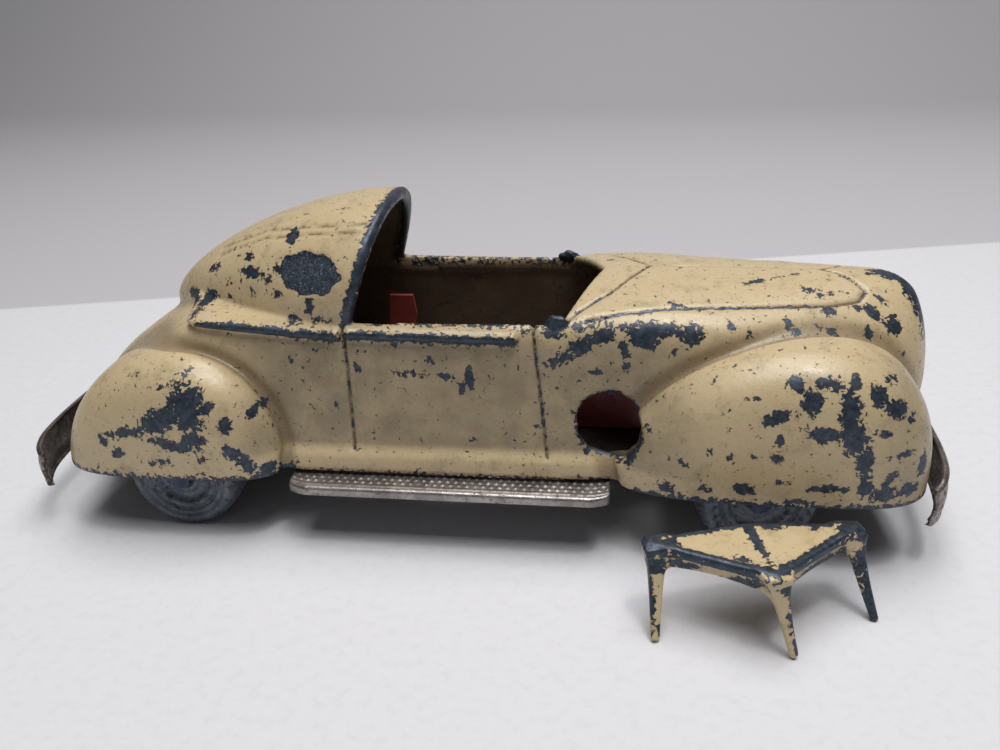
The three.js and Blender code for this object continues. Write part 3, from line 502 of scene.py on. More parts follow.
def body_wear(points):
    """Bare metal where it is over 0, sound paint where it is well below."""
    x, y, z = points.T
    side = np.abs(y) - np.where(z > 31, 4, 12) > 0
    near = np.where(side & (y < 0), worn_at(x, z, SIDE_CHIPS), -2)
    far = np.where(side & (y > 0), worn_at(x, z, FAR_CHIPS), -2)
    top = np.where((z > 28.5) & (x > 12), worn_at(x, y, TOP_CHIPS), -2)
    wear = np.maximum(np.maximum(near, far), top)
    wide = np.abs(y)
    for (x0, z0), (x1, z1) in BELT_RIBS:
        line = to_line(x, z, [(x0, z0 - 0.4), (x1, z1 - 0.4)])
        rib = np.where(wide > half_width(x) + 0.1, ridge_wear(line, 0.95), -2)
        wear = np.maximum(wear, rib)
    lip = (x - LIP_X - LIP_LEAN * (z - 31)) + 0.1
    wear = np.maximum(wear, np.where(z > 31, 0.9 * ridge_wear(lip, 1.05), -2))
    hem = np.where(z < 13, ridge_wear(z - BODY_LOW, 1.1) * 0.55, -2)
    hem = np.where((np.abs(x) > 24), hem, hem - 0.35)
    wear = np.maximum(wear, hem)
    nose = np.where(z > 26, ridge_wear(x - 66.2, 3.2) * 0.7, -2)
    wear = np.maximum(wear, nose)
    rim = np.where((y < 0) & (z < 26), np.hypot(x - KEY_HOLE.x, z - KEY_HOLE.z) - KEY_HOLE_R, 9)
    wear = np.maximum(wear, ridge_wear(rim, 0.35) * 0.4)
    sill = np.where((z > 29) & (x < 20) & (x > -14), ridge_wear(wide - 15.6, 0.8) * 0.25, -2)
    torn = stub(x, y, z, TORN_POST, (1.8, 1.0, 1.2))
    wear = np.maximum(wear, np.where(torn < 0, 1, -2))
    wear = np.maximum(wear, np.maximum(sill, 1.4 * roof_patch(x, y, z) - 0.2))
    return np.maximum(wear, 1.6 * grooves(x, y, z) * panel_dirt(x, y, z) - 0.8)


def panel_dirt(x, y, z):
    """How strongly each seam is bare: the bonnet panel most, the hood's seams least."""
    return np.where(x > 16, np.where(np.abs(y) > 9, 1.1, 0.75), np.where(z > 36, 0.2, 0.75))


def side_darkening(points):
    """Darker grey-brown tone on the door sides and on the noses of the front wings, weaker towards the belt.
    """
    x, y, z = points.T
    side = ease(np.abs(y), 15.2, 16.4)
    doors = ease(x, -34, -26) * (1 - ease(x, 24, 36)) * ease(z, 13, 14.5) * (1 - 0.6 * ease(z, 27, 31))
    noses = 0.7 * ease(x, 52, 59)
    return side * np.maximum(doors, noses)


def is_inner(points):
    """1 on the hollow's surfaces, 0 outside."""
    x, y, z = points.T
    depth = np.minimum(casting(x, y, z), np.maximum(roof(x, y, z), x - LIP_X - LIP_LEAN * (z - 31)))
    return ease(-depth, 0.6, 1.0)


# ---------------------------------------------------------------- pieces


def build_body():
    low, high = cad_box("body_shell")
    margin = Vector((0.8, 0.8, 0.8))
    points, faces = skin(body_field, low - margin, high + margin, 0.42)
    piece = mesh_object("body_casting", points, faces)
    add_attribute(piece, "wear", body_wear(points))
    add_attribute(piece, "inner", is_inner(points))
    add_attribute(piece, "side_darkening", side_darkening(points))
    add_attribute(piece, "crease", crease(*points.T))
    add_attribute(piece, "groove", grooves(*points.T))
    add_attribute(piece, "patch", roof_patch(*points.T))
    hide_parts("body_shell")
    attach(piece, "car")
    return piece


SCREEN = {"x": 38.7, "y": -33, "turn": 11.8, "top": 10.9}
SCREEN_LEGS = [((-12.2, 0.1), (-13.2, -5.4)), ((0, -7.2), (2.4, -9.9)), ((12.2, 0.1), (14.6, -4.8))]


def behind_vee(x, y):
    """Distance back from the frame's V-shaped front edge."""
    return y - 0.1 + (8.1 - 8.1 * np.abs(x) / 13.0)


def strut(x, y, z, foot, head, thick):
    """A tapered flat post from its head at the header down to its foot."""
    (x1, y1), (x0, y0) = head, foot
    t = np.clip(1 - z / SCREEN["top"], 0, 1)
    lean = t ** 1.15
    flare = 0.9 * np.exp(-5 * t)
    wide = thick * (1 - 0.42 * t) + flare
    across = np.abs(x - x1 - (x0 - x1) * lean)
    ahead = np.abs(y - y1 - (y0 - y1) * lean)
    return smooth_max(smooth_max(across - wide, ahead - 0.75 * wide - 0.1 + 0.2 * t, 0.5),
                      np.maximum(0.15 - z, z - SCREEN["top"] + 0.3), 0.4)


def screen_field(x, y, z):
    """The broken V windscreen frame: header, front band, rolled edge and three posts."""
    vee = behind_vee(x, y)
    rear = y - 3.0 + 1.4 * np.abs(x) / 11.5
    ends = np.abs(x) - 13.1 + 0.6 * np.maximum(y, -1)
    sag = 0.12 * (np.abs(x) / 13) ** 2
    top = z - SCREEN["top"] + sag + 0.25
    header = smooth_max(smooth_max(smooth_max(-vee, rear, 0.5), ends, 0.5),
                        smooth_max(top, SCREEN["top"] - 1.1 - z, 0.3), 0.4)
    low = SCREEN["top"] - 3.2 + 0.8 * np.sin(np.clip(np.abs(x) / 12.0, 0, 1) * math.pi)
    band = smooth_max(smooth_max(-vee - 0.05, vee - 1.0, 0.3), np.maximum(low - z, top), 0.3)
    band = smooth_max(band, np.abs(x) - 13, 0.4)
    rim = np.hypot(vee * 0.85 - 0.25, z - SCREEN["top"] + 0.55 + sag) - 0.55
    rim = np.maximum(rim, np.abs(x) - 13)
    frame_metal = smooth_min(smooth_min(header, band, 0.6), rim, 0.3)
    for head, foot in SCREEN_LEGS:
        frame_metal = smooth_min(frame_metal, strut(x, y, z, foot, head, 0.95), 1.2)
    torn = 0.18 * np.sin(3.1 * x + 2 * y) + 0.12 * np.sin(5.3 * y - x)
    return np.maximum(frame_metal, 0.25 + torn * ease(2.5 - z, 0, 1) - z)


def screen_wear(points):
    """Bare metal on the broken frame, by the same scale as body_wear."""
    x, y, z = points.T
    vee = behind_vee(x, y)
    top = z > SCREEN["top"] - 1.2
    edge = ridge_wear(vee - 0.2, 1.0)
    edge = np.maximum(edge, ridge_wear(np.minimum(3.0 - y - 1.4 * np.abs(x) / 11.5, 9), 1.1))
    edge = np.maximum(edge, ridge_wear(12.7 - np.abs(x) - 0.6 * y, 1.3))
    edge = np.maximum(edge, ridge_wear(x + 0.1, 0.8) * ease(y, -7, 1))
    plan = [(-11, -0.5, 2.2, 1.3, 20), (3, 1.8, 2.0, 0.9, -10), (-3, -4.3, 1.4, 0.7, -30),
            (8, 0.6, 1.2, 0.5, 0), (-6, 1.8, 1.6, 0.7, 0), (11.4, -0.4, 1.4, 1.6, 0)]
    edge = np.maximum(edge, worn_at(x, y, plan))
    front = [(-9.5, 8.9, 2.4, 0.8, 0), (-3, 8.8, 2.6, 0.8, 10), (-13.6, 5, 0.8, 3.6, 0),
             (-12.6, 8.6, 1.6, 1.3, 0), (-12.4, 1.6, 1.0, 1.0, 0), (2.9, 2.2, 1.0, 2.2, 0),
             (2.2, 6, 1.0, 3.4, 0), (7.5, 8.2, 5.2, 1.5, 0), (14, 3, 1.4, 4.5, 0),
             (13.2, 7.4, 1.4, 2.2, 0), (1.4, 9.2, 1.4, 1.2, 0)]
    legs = np.where(z < 7.5, ease(x, 10, 12) * 0.5 + 0.25 * (1 - ease(z, 0, 2.5)), 0) - 0.32
    return np.where(top, edge, np.maximum(worn_at(x, z, front), legs))


def build_screen():
    points, faces = skin(screen_field, (-16, -11.5, -0.5), (16.5, 4.2, 11.8), 0.2)
    place = Matrix.Translation(Vector((SCREEN["x"], SCREEN["y"], 0)) * MM)
    place = place @ Matrix.Rotation(math.radians(SCREEN["turn"]), 4, "Z")
    piece = mesh_object("windscreen_frame_casting", points, faces, place)
    add_attribute(piece, "wear", screen_wear(points))
    for name in ("inner", "groove", "patch", "side_darkening", "crease"):
        add_attribute(piece, name, np.zeros(len(points)))
    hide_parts("windscreen_frame")
    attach(piece, "windscreen_frame")
    return piece


WHEEL_FACE = 22.3
TREAD_RIBS = 52


def wheel_profile():
    """(radius, depth from the outer face) from the hub to the tyre's inner side."""
    return [
        (1.55, 0.9), (1.7, 0.55), (2.3, 0.5), (2.5, 0.95), (3.0, 1.1), (3.9, 1.0), (4.2, 0.55),
        (4.5, 0.3), (4.9, 0.3), (5.1, 0.55), (5.25, 0.7), (5.45, 0.6), (5.7, 0.28), (6.0, 0.2),
        (6.2, 0.35), (6.35, 0.35), (6.5, 0.12), (6.9, 0.05), (7.4, 0.12), (7.8, 0.4), (8.05, 0.8),
        (8.2, 1.3), (8.28, 1.9), (8.3, 2.6), (8.3, 4.4), (8.28, 5.1), (8.2, 5.7), (8.05, 6.2),
        (7.8, 6.6), (7.4, 6.88), (6.9, 6.95), (6.4, 6.9), (6.0, 6.2), (5.0, 5.9), (3.0, 5.8),
        (2.0, 5.9), (1.7, 6.4), (1.2, 6.4), (1.2, 0.9),
    ]


def build_wheel(name, side, axle_at, turn, body):
    """A cast wheel and tyre in one, ribbed across its shoulders."""
    profile = np.array(wheel_profile())
    count = 520
    angle = np.arange(count) * 2 * math.pi / count
    r = profile[:, 0][None, :]
    depth = profile[:, 1][None, :]
    shoulder = ease(r, 6.9, 7.6) * (1 - ease(depth, 2.0, 2.6) * (1 - ease(depth, 4.4, 5.0)))
    lean = 0.16 * (depth - 1.2)
    ribs = np.clip(1.6 * np.sin(TREAD_RIBS * (angle[:, None] + lean)), -1, 1)
    radius = r - 0.15 * shoulder * (1 - ribs)
    out = side * (WHEEL_FACE - depth)
    x = radius * np.cos(angle)[:, None]
    z = radius * np.sin(angle)[:, None]
    points = np.stack([x, np.broadcast_to(out, x.shape), z], axis=2).reshape(-1, 3)
    rings = len(profile)
    a = np.arange(count)[:, None] * rings
    b = (np.arange(count)[:, None] + 1) % count * rings
    i = np.arange(rings)[None, :]
    j = (i + 1) % rings
    faces = np.stack([a + i, b + i, b + j, a + j], axis=2).reshape(-1, 4)
    if side > 0:
        faces = faces[:, ::-1]
    place = Matrix.Translation(axle_at * MM) @ Matrix.Rotation(math.radians(turn), 4, "Z")
    piece = mesh_object(name + "_casting", points, faces, place)
    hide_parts(name)
    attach(piece, body)
    return piece


BOARD = {"x0": -24.5, "x1": 21, "inner": 15, "outer": 25, "top": 9.8, "thick": 0.6, "drop": 1.3}
DOT_PITCH = 1.15


def build_board(name, side):
    """A pressed strip with rows of raised dots, its outer edge rolled down."""
    span = BOARD["outer"] - BOARD["inner"]
    roll = 0.55
    xs = np.arange(BOARD["x0"], BOARD["x1"] + 0.01, 0.175)
    run = span - roll + roll * math.pi / 2 + BOARD["drop"] - roll
    s = np.concatenate([np.arange(0, span - roll, 0.175), np.linspace(span - roll, run, 14)])
    x, s = np.meshgrid(xs, s, indexing="ij")
    over = np.clip((s - (span - roll)) / roll, 0, math.pi / 2)
    down = np.maximum(s - (span - roll) - roll * math.pi / 2, 0)
    out = np.minimum(s, span - roll) + roll * np.sin(over)
    fall = roll * (1 - np.cos(over)) + down
    row = np.round(s / (DOT_PITCH * 0.87))
    centre = (np.round(x / DOT_PITCH - 0.5 * (row % 2)) + 0.5 * (row % 2)) * DOT_PITCH
    away = np.hypot(x - centre, s - row * DOT_PITCH * 0.87)
    dots = 0.14 * (1 - ease(away, 0.12, 0.42)) * ease(s, 4.5, 5.2) * (1 - ease(s, 8.3, 8.7))
    ridge = 0.12 * np.exp(-((s - 8.95) / 0.22) ** 2)
    tail = np.clip((x - BOARD["x0"]) / 2.6, 0, 1)
    nose = np.clip((BOARD["x1"] - x) / 2.6, 0, 1)
    shrink = 0.86 + 0.14 * np.sqrt(np.minimum(tail, nose))
    y = BOARD["inner"] + out * shrink
    top = np.stack([x, y, BOARD["top"] - 0.14 - fall + dots + ridge], axis=2)
    inward = np.stack([0 * x, -np.sin(over), -np.cos(over)], axis=2)
    under = top - np.stack([0 * x, 0 * x, dots + ridge], axis=2) + 0.45 * inward
    points = np.concatenate([top.reshape(-1, 3), under.reshape(-1, 3)])
    n, m = x.shape
    grid = np.arange(n * m).reshape(n, m)
    upper = np.stack([grid[:-1, :-1], grid[1:, :-1], grid[1:, 1:], grid[:-1, 1:]], axis=2).reshape(-1, 4)
    lower = upper[:, ::-1] + n * m
    rim = np.concatenate([grid[0, :-1], grid[:-1, -1], grid[-1, :0:-1], grid[:0:-1, 0]])
    after = np.roll(rim, -1)
    wall = np.stack([rim, after, after + n * m, rim + n * m], axis=1)
    faces = np.concatenate([upper, lower, wall])
    if side < 0:
        points[:, 1] *= -1
        faces = faces[:, ::-1]
    piece = mesh_object(name + "_pressing", points, faces)
    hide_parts(name)
    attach(piece, "car")
    return piece


BUMPER_BOW = [(63, 22.6), (64.5, 20.8), (65.8, 17), (66.8, 10), (67.25, 0)]
BUMPER_Z = 9.7


def build_bumper(name, end):
    """A pressed blade with a raised flange along its top and bottom edges."""
    knots = [Vector((x, y, 0)) for x, y in BUMPER_BOW]
    knots += [Vector((p.x, -p.y, 0)) for p in reversed(knots[:-1])]
    bow = np.array(smooth_path([(p.x, p.y) for p in knots], 14))
    ahead = np.gradient(bow, axis=0)
    ahead /= np.linalg.norm(ahead, axis=1)[:, None]
    normal = np.stack([-ahead[:, 1], ahead[:, 0]], axis=1)
    normal *= np.sign(normal[:, :1] + 1e-9)
    front = [(-3.1, -0.1), (-2.9, 0.25), (-2.5, 0.3), (-2.1, 0.1), (-1.1, 0.42), (0, 0.5),
             (1.1, 0.42), (2.0, 0.1), (2.4, 0.3), (2.8, 0.3), (3.1, -0.1)]
    section = front + [(h, d - 0.6) for h, d in reversed(front)]
    rows = []
    for k, (px, py) in enumerate(bow):
        past = max(abs(py) - 16, 0)
        slim = 1 - 0.14 * ease(abs(py), 20, 24)
        for height, depth in section:
            rows.append((px + normal[k, 0] * depth, py + normal[k, 1] * depth,
                         BUMPER_Z + height * slim - 0.015 * past * past))
    points = np.array(rows)
    points[:, 0] *= end
    m = len(section)
    a = np.arange(len(bow) - 1)[:, None] * m
    i = np.arange(m)[None, :]
    j = (i + 1) % m
    faces = np.stack([a + i, a + j, a + m + j, a + m + i], axis=2).reshape(-1, 4)
    caps = []
    for k in range(m // 2 - 1):
        caps.append((k, k + 1, m - 2 - k, m - 1 - k))
    caps = np.array(caps)
    last = (len(bow) - 1) * m
    faces = np.concatenate([faces, caps[:, ::-1], caps + last])
    if end > 0:
        faces = faces[:, ::-1]
    piece = mesh_object(name + "_blade", points, faces)
    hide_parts(name)
    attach(piece, "car")
    return piece


def smooth_path(points, steps):
    """Catmull-Rom points through the knots."""
    padded = [points[0]] + points + [points[-1]]
    path = []
    for k in range(1, len(padded) - 2):
        p0, p1, p2, p3 = (np.array(p) for p in padded[k - 1:k + 3])
        for i in range(steps):
            t = i / steps
            path.append(0.5 * (2 * p1 + (p2 - p0) * t + (2 * p0 - 5 * p1 + 4 * p2 - p3) * t * t
                               + (3 * p1 - p0 - 3 * p2 + p3) * t ** 3))
    path.append(np.array(points[-1]))
    return path


# ---------------------------------------------------------------- materials


class Shader:
    """A material being wired: each method adds one node and returns its output."""

    def __init__(self, name):
        self.material = bpy.data.materials.new(name)
        self.material.use_nodes = True
        self.tree = self.material.node_tree
        self.surface = self.tree.nodes["Principled BSDF"]
        place = self.tree.nodes.new("ShaderNodeTexCoord")
        self.place = self.scaled(place.outputs["Object"], (1000, 1000, 1000))

    def join(self, value, socket):
        if isinstance(value, bpy.types.NodeSocket):
            self.tree.links.new(value, socket)
        else:
            socket.default_value = value

    def scaled(self, vector, factors):
        node = self.tree.nodes.new("ShaderNodeVectorMath")
        node.operation = "MULTIPLY"
        self.tree.links.new(vector, node.inputs[0])
        node.inputs[1].default_value = factors
        return node.outputs[0]

    def noise(self, per_mm, detail=3, rough=0.55, stretch=None, twist=0):
        node = self.tree.nodes.new("ShaderNodeTexNoise")
        node.inputs["Scale"].default_value = per_mm
        node.inputs["Detail"].default_value = detail
        node.inputs["Roughness"].default_value = rough
        node.inputs["Distortion"].default_value = twist
        where = self.scaled(self.place, stretch) if stretch else self.place
        self.tree.links.new(where, node.inputs["Vector"])
        return node.outputs["Fac"]

    def maths(self, operation, a, b=0.0, c=0.0):
        node = self.tree.nodes.new("ShaderNodeMath")
        node.operation = operation
        for value, socket in zip((a, b, c), node.inputs):
            self.join(value, socket)
        return node.outputs[0]

    def step(self, value, low, high, to_low=0.0, to_high=1.0):
        node = self.tree.nodes.new("ShaderNodeMapRange")
        node.interpolation_type = "SMOOTHSTEP"
        self.join(value, node.inputs["Value"])
        node.inputs["From Min"].default_value = low
        node.inputs["From Max"].default_value = high
        node.inputs["To Min"].default_value = to_low
        node.inputs["To Max"].default_value = to_high
        return node.outputs["Result"]

    def mix(self, factor, a, b):
        node = self.tree.nodes.new("ShaderNodeMix")
        node.data_type = "RGBA"
        self.join(factor, node.inputs["Factor"])
        for value, socket in ((a, node.inputs["A"]), (b, node.inputs["B"])):
            self.join((*value, 1) if isinstance(value, tuple) else value, socket)
        return node.outputs["Result"]

    def attribute(self, name):
        node = self.tree.nodes.new("ShaderNodeAttribute")
        node.attribute_name = name
        return node.outputs["Fac"]

    def height(self, value, depth_mm, under=None):
        node = self.tree.nodes.new("ShaderNodeBump")
        node.inputs["Strength"].default_value = 1.0
        node.inputs["Distance"].default_value = depth_mm * MM
        self.join(value, node.inputs["Height"])
        if under is not None:
            self.tree.links.new(under, node.inputs["Normal"])
        return node.outputs["Normal"]

    def finish(self, colour, roughness, metallic, normal):
        self.join(colour, self.surface.inputs["Base Color"])
        self.join(roughness, self.surface.inputs["Roughness"])
        self.join(metallic, self.surface.inputs["Metallic"])
        self.join(normal, self.surface.inputs["Normal"])
        return self.material


CREAM = (0.53, 0.41, 0.235)
CREAM_PALE = (0.61, 0.49, 0.30)
CREAM_DULL = (0.35, 0.275, 0.155)
SIDE_DARK_TONE = (0.27, 0.215, 0.135)
# dark brown for dirt, scratches, seams and chip rims, and also used as painted shade in the wing creases
GRIME_AND_SHADE = (0.13, 0.085, 0.045)
SLATE = (0.028, 0.040, 0.058)
SLATE_PALE = (0.065, 0.085, 0.115)
BARE_DARK = (0.012, 0.014, 0.018)
INNER_OLIVE = (0.32, 0.235, 0.15)


def worn_cream():
    """Old cream enamel with crisp chips down to a slate-blue undercoat."""
    s = Shader("worn_cream_enamel")
    fine = s.noise(1.5, 3, 0.55, twist=0.5)
    broad = s.noise(0.55, 3, 0.55)
    ragged = s.maths("ADD", s.maths("MULTIPLY", s.maths("SUBTRACT", fine, 0.5), 1.9),
                     s.maths("MULTIPLY", s.maths("SUBTRACT", broad, 0.5), 0.7))
    wear = s.maths("ADD", s.attribute("wear"), ragged)
    gone = s.step(wear, 0.15, 0.2)
    few = s.noise(0.13, 2, 0.5)
    speck = s.noise(1.25, 4, 0.6, twist=0.8)
    speck = s.step(s.maths("ADD", speck, s.maths("MULTIPLY", few, 0.16)), 0.79, 0.8)
    line = s.maths("ABSOLUTE", s.maths("SUBTRACT", s.noise(0.55, 2, 0.5, stretch=(1, 0.5, 2.6)), 0.5))
    patchy = s.step(s.noise(0.6, 3, 0.6), 0.62, 0.66)
    scratch = s.maths("MULTIPLY", s.step(line, 0.002, 0.007, 1, 0), patchy)
    bare = s.maths("MAXIMUM", gone, speck)
    inside = s.attribute("inner")
    tone = s.mix(s.noise(0.11, 4, 0.6), CREAM, CREAM_PALE)
    tone = s.mix(s.step(s.noise(0.3, 5, 0.65), 0.5, 0.72, 0, 0.6), tone, CREAM_DULL)
    # darker tone over the door sides and the front wing noses, weaker towards the belt
    dull = s.maths("MULTIPLY", s.attribute("side_darkening"), s.step(s.noise(0.25, 4, 0.6), 0.3, 0.7, 0.6, 1.0))
    tone = s.mix(dull, tone, SIDE_DARK_TONE)
    soil = s.step(s.noise(2.6, 6, 0.7), 0.56, 0.74, 0, 0.4)
    tone = s.mix(soil, tone, GRIME_AND_SHADE)
    tone = s.mix(s.maths("MULTIPLY", scratch, 0.75), tone, GRIME_AND_SHADE)
    tone = s.mix(s.step(s.attribute("groove"), 0.1, 0.7, 0, 0.9), tone, GRIME_AND_SHADE)
    # painted shade: darkens the crease where each wing meets the body
    tone = s.mix(s.step(s.attribute("crease"), 0.15, 0.95, 0, 0.6), tone, GRIME_AND_SHADE)
    halo = s.step(wear, 0.02, 0.15, 0, 0.35)
    tone = s.mix(halo, tone, GRIME_AND_SHADE)
    metal = s.mix(s.step(s.noise(1.1, 5, 0.6), 0.35, 0.7), SLATE, SLATE_PALE)
    metal = s.mix(s.step(s.noise(3.2, 4, 0.6), 0.5, 0.75, 0, 0.8), metal, BARE_DARK)
    glint = s.maths("MULTIPLY", s.attribute("patch"), s.step(s.noise(2.8, 5, 0.7), 0.56, 0.66))
    metal = s.mix(s.maths("MULTIPLY", glint, 0.8), metal, (0.30, 0.37, 0.44))
    outside = s.mix(bare, tone, metal)
    stain = s.mix(s.noise(0.2, 4, 0.6), INNER_OLIVE, (0.07, 0.055, 0.04))
    colour = s.mix(inside, outside, stain)
    rough = s.maths("ADD", s.step(s.noise(0.8, 4), 0.3, 0.7, 0.24, 0.4), s.maths("MULTIPLY", bare, 0.1))
    paint = s.height(s.maths("SUBTRACT", 1.0, bare), 0.1)
    grain = s.height(s.noise(1.4, 5, 0.6), 0.045, paint)
    grain = s.height(s.maths("MULTIPLY", s.noise(2.4, 4, 0.7), s.attribute("patch")), 0.5, grain)
    metallic = s.maths("MULTIPLY", bare, 0.45)
    return s.finish(colour, rough, metallic, grain)


def metal_look(name, bright, dull, dirt, roughness, grain, soil=0.5, stretch=None, metallic=0.85):
    """A metal whose tone, dirt and sheen vary from place to place."""
    s = Shader(name)
    tone = s.mix(s.step(s.noise(0.35, 5, 0.6, stretch=stretch), 0.35, 0.65), bright, dull)
    marks = s.step(s.noise(1.3, 5, 0.65), 0.66 - 0.25 * soil, 0.76 - 0.2 * soil)
    tone = s.mix(s.maths("MULTIPLY", marks, 0.85), tone, dirt)
    line = s.maths("ABSOLUTE", s.maths("SUBTRACT", s.noise(0.8, 2, 0.5, stretch=(1, 3, 0.6)), 0.5))
    tone = s.mix(s.step(line, 0.0, 0.012, 0.35, 0), tone, bright)
    rough = s.maths("ADD", s.step(s.noise(0.9, 4), 0.3, 0.7, roughness - 0.08, roughness + 0.1),
                    s.maths("MULTIPLY", marks, 0.2))
    bumps = s.height(s.noise(2.2, 5, 0.65), grain)
    share = s.step(marks, 0, 1, metallic, metallic * 0.4)
    return s.finish(tone, rough, share, bumps)


def paint_look(name, colour, shade, under):
    """Dipped paint rubbed through in places."""
    s = Shader(name)
    tone = s.mix(s.noise(0.3, 4, 0.6), colour, shade)
    rubbed = s.step(s.noise(0.8, 5, 0.65), 0.63, 0.66)
    tone = s.mix(rubbed, tone, under)
    rough = s.step(s.noise(0.7, 3), 0.3, 0.7, 0.3, 0.5)
    layer = s.height(s.maths("SUBTRACT", 1.0, rubbed), 0.06)
    return s.finish(tone, rough, s.maths("MULTIPLY", rubbed, 0.6), s.height(s.noise(1.8, 4), 0.03, layer))


def dress(piece, material):
    """Give a new piece its only material."""
    piece.data.materials.clear()
    piece.data.materials.append(material)


# ---------------------------------------------------------------- setting


def backdrop_material():
    """White paper in front, and painted shade beyond a slanting line behind the car: a grey that stands in
    for the shaded upright wall.
    """
    s = Shader("backdrop_paper")
    parts = s.tree.nodes.new("ShaderNodeSeparateXYZ")
    s.tree.links.new(s.place, parts.inputs[0])
    slant = s.maths("SUBTRACT", parts.outputs["Y"], s.maths("MULTIPLY", parts.outputs["X"], 0.25))
    # painted shade: grey beyond the slanting line in place of the darker upright wall
    beyond = s.step(slant, 100, 102.5)
    speck = s.step(s.noise(0.6, 5, 0.7), 0.45, 0.75, 0, 0.35)
    white = s.mix(speck, (0.70, 0.70, 0.735), (0.56, 0.56, 0.59))
    tone = s.mix(beyond, white, (0.52, 0.51, 0.535))
    return s.finish(tone, 0.8, 0.0, s.height(s.noise(0.7, 5, 0.6), 0.05))


def backdrop():
    """A sheet that lies flat round the car and curves up well behind it."""
    bend, radius = 420, 200
    arc = [(bend + radius * math.sin(a), radius * (1 - math.cos(a)))
           for a in np.linspace(0, math.pi / 2, 24)]
    profile = [(-1500, 0)] + arc + [(bend + radius, 1500)]
    wide = 2000
    points = [(x, y, z) for y, z in profile for x in (-wide, wide)]
    faces = np.array([(2 * i, 2 * i + 1, 2 * i + 3, 2 * i + 2) for i in range(len(profile) - 1)])
    piece = mesh_object("backdrop", points, faces)
    dress(piece, backdrop_material())


def area_light(name, at, toward, size, power, colour):
    data = bpy.data.lights.new(name, "AREA")
    data.shape = "RECTANGLE"
    data.size, data.size_y = size
    data.energy = power
    data.color = colour
    lamp = bpy.data.objects.new(name, data)
    lamp.location = Vector(at)
    lamp.rotation_euler = (Vector(toward) - Vector(at)).to_track_quat("-Z", "Y").to_euler()
    bpy.context.scene.collection.objects.link(lamp)


def setting():
    backdrop()
    area_light("overhead", (0.05, 0.0, 0.62), (0.0, 0.0, 0.0), (0.6, 0.4), 4.15, (1, 0.985, 0.965))
    area_light("lamp", (0.13, -0.1, 0.6), (0.0, 0.0, 0.0), (0.1, 0.06), 0.5, (1, 0.985, 0.96))
    area_light("front_fill", (-0.15, -0.8, 0.5), (0.0, 0.0, 0.02), (0.7, 0.5), 0.1, (0.93, 0.96, 1))
    world = bpy.data.worlds.new("room")
    world.use_nodes = True
    world.node_tree.nodes["Background"].inputs["Color"].default_value = (0.80, 0.83, 0.88, 1)
    world.node_tree.nodes["Background"].inputs["Strength"].default_value = 0.1
    bpy.context.scene.world = world
    bpy.context.scene.view_settings.view_transform = "Standard"


CAMERA = {"at": (20.89, -122.69, 73.62), "yaw": 8.26, "pitch": 24.86, "roll": -2.02, "lens": 30.70}


def camera():
    yaw, pitch, roll = (math.radians(CAMERA[name]) for name in ("yaw", "pitch", "roll"))
    ahead = Vector((-math.sin(yaw) * math.cos(pitch), math.cos(yaw) * math.cos(pitch), -math.sin(pitch)))
    level = ahead.cross(Vector((0, 0, 1))).normalized()
    over = level.cross(ahead)
    right = math.cos(roll) * level + math.sin(roll) * over
    up = math.cos(roll) * over - math.sin(roll) * level
    data = bpy.data.cameras.new("camera")
    data.lens = CAMERA["lens"]
    data.sensor_width = 36
    data.clip_start = 0.001
    eye = bpy.data.objects.new("camera", data)
    turn = Matrix((right, up, -ahead)).transposed().to_4x4()
    eye.matrix_world = Matrix.Translation(Vector(CAMERA["at"]) * MM) @ turn
    bpy.context.scene.collection.objects.link(eye)
    bpy.context.scene.camera = eye


# ---------------------------------------------------------------- assembly

cream = worn_cream()
zinc = metal_look("cast_zinc", (0.17, 0.195, 0.225), (0.10, 0.12, 0.145), (0.03, 0.03, 0.034),
                  0.5, 0.08, soil=0.55, metallic=0.5)
plated = metal_look("worn_plating", (0.42, 0.385, 0.375), (0.25, 0.225, 0.22), (0.10, 0.075, 0.06),
                    0.34, 0.05, soil=0.45)
browned = metal_look("browned_plating", (0.34, 0.30, 0.28), (0.15, 0.12, 0.10), (0.05, 0.032, 0.022),
                     0.32, 0.05, soil=0.7)
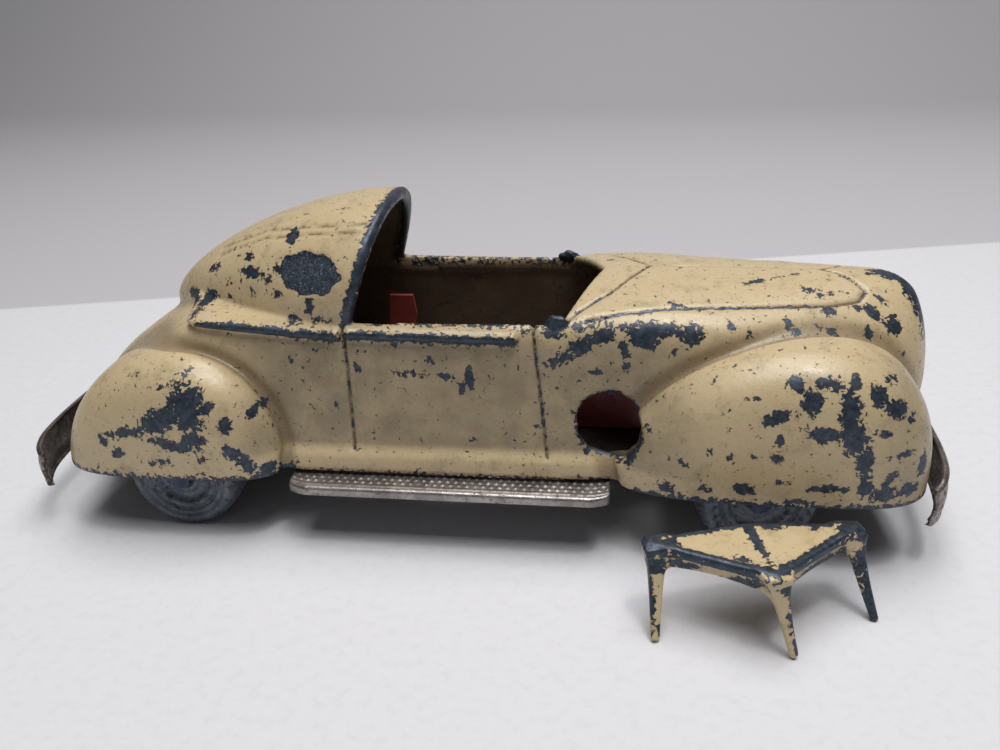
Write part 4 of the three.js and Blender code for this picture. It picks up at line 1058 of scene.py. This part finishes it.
# tinplate coloured near-black: painted shade for the dark underside seen through the key hole
tin_painted_dark = metal_look("tinplate", (0.11, 0.10, 0.095), (0.06, 0.055, 0.05), (0.03, 0.02, 0.015),
                 0.45, 0.04, soil=0.6)
steel = metal_look("mild_steel", (0.36, 0.36, 0.37), (0.22, 0.22, 0.23), (0.08, 0.05, 0.035), 0.36, 0.04)
brass = metal_look("brass", (0.50, 0.36, 0.14), (0.34, 0.24, 0.09), (0.09, 0.06, 0.03), 0.34, 0.03)
blued = metal_look("blued_spring", (0.07, 0.09, 0.14), (0.04, 0.05, 0.08), (0.03, 0.025, 0.02), 0.3, 0.02)
red = paint_look("maroon_paint", (0.34, 0.06, 0.05), (0.20, 0.04, 0.036), (0.07, 0.05, 0.05))

dress(build_body(), cream)
dress(build_screen(), cream)
for side_name, side in (("left", 1), ("right", -1)):
    rear_at = joint_at("rear_axle_spin")
    front_at = joint_at("front_axle_spin")
    dress(build_wheel("rear_wheel_" + side_name, side, rear_at, 0, "rear_wheelset"), zinc)
    front_wheel = build_wheel("front_wheel_" + side_name, side, front_at, FRONT_WHEEL_TURN, "front_wheelset")
    dress(front_wheel, zinc)
    dress(build_board("running_board_" + side_name, side), plated)
dress(build_bumper("front_bumper", 1), browned)
dress(build_bumper("rear_bumper", -1), browned)

CAD_LOOKS = {
    "chassis_plate": tin_painted_dark, "steering_bracket": tin_painted_dark, "axle_pinion": brass, "great_wheel": brass,
    "mainspring": blued, "winding_arbor": blued, "rear_axle": blued, "front_axle": blued,
    "stop_lever": red, "motor_plate_right": red, "motor_plate_left": red,
    "train_wheel_a": brass, "train_wheel_b": brass, "train_wheel_c": brass, "train_wheel_d": brass,
}
MADE_AGAIN = ("body_shell", "windscreen_frame", "wheel_", "running_board", "front_bumper", "rear_bumper")
for node, piece in frame["nodes"].items():
    stays = node.startswith("train_wheel") or node.endswith("rivet") or "rivet_" in node
    if stays or not any(word in node for word in MADE_AGAIN):
        for material_slot in piece.material_slots:
            material_slot.material = CAD_LOOKS.get(node, steel)

setting()
camera()
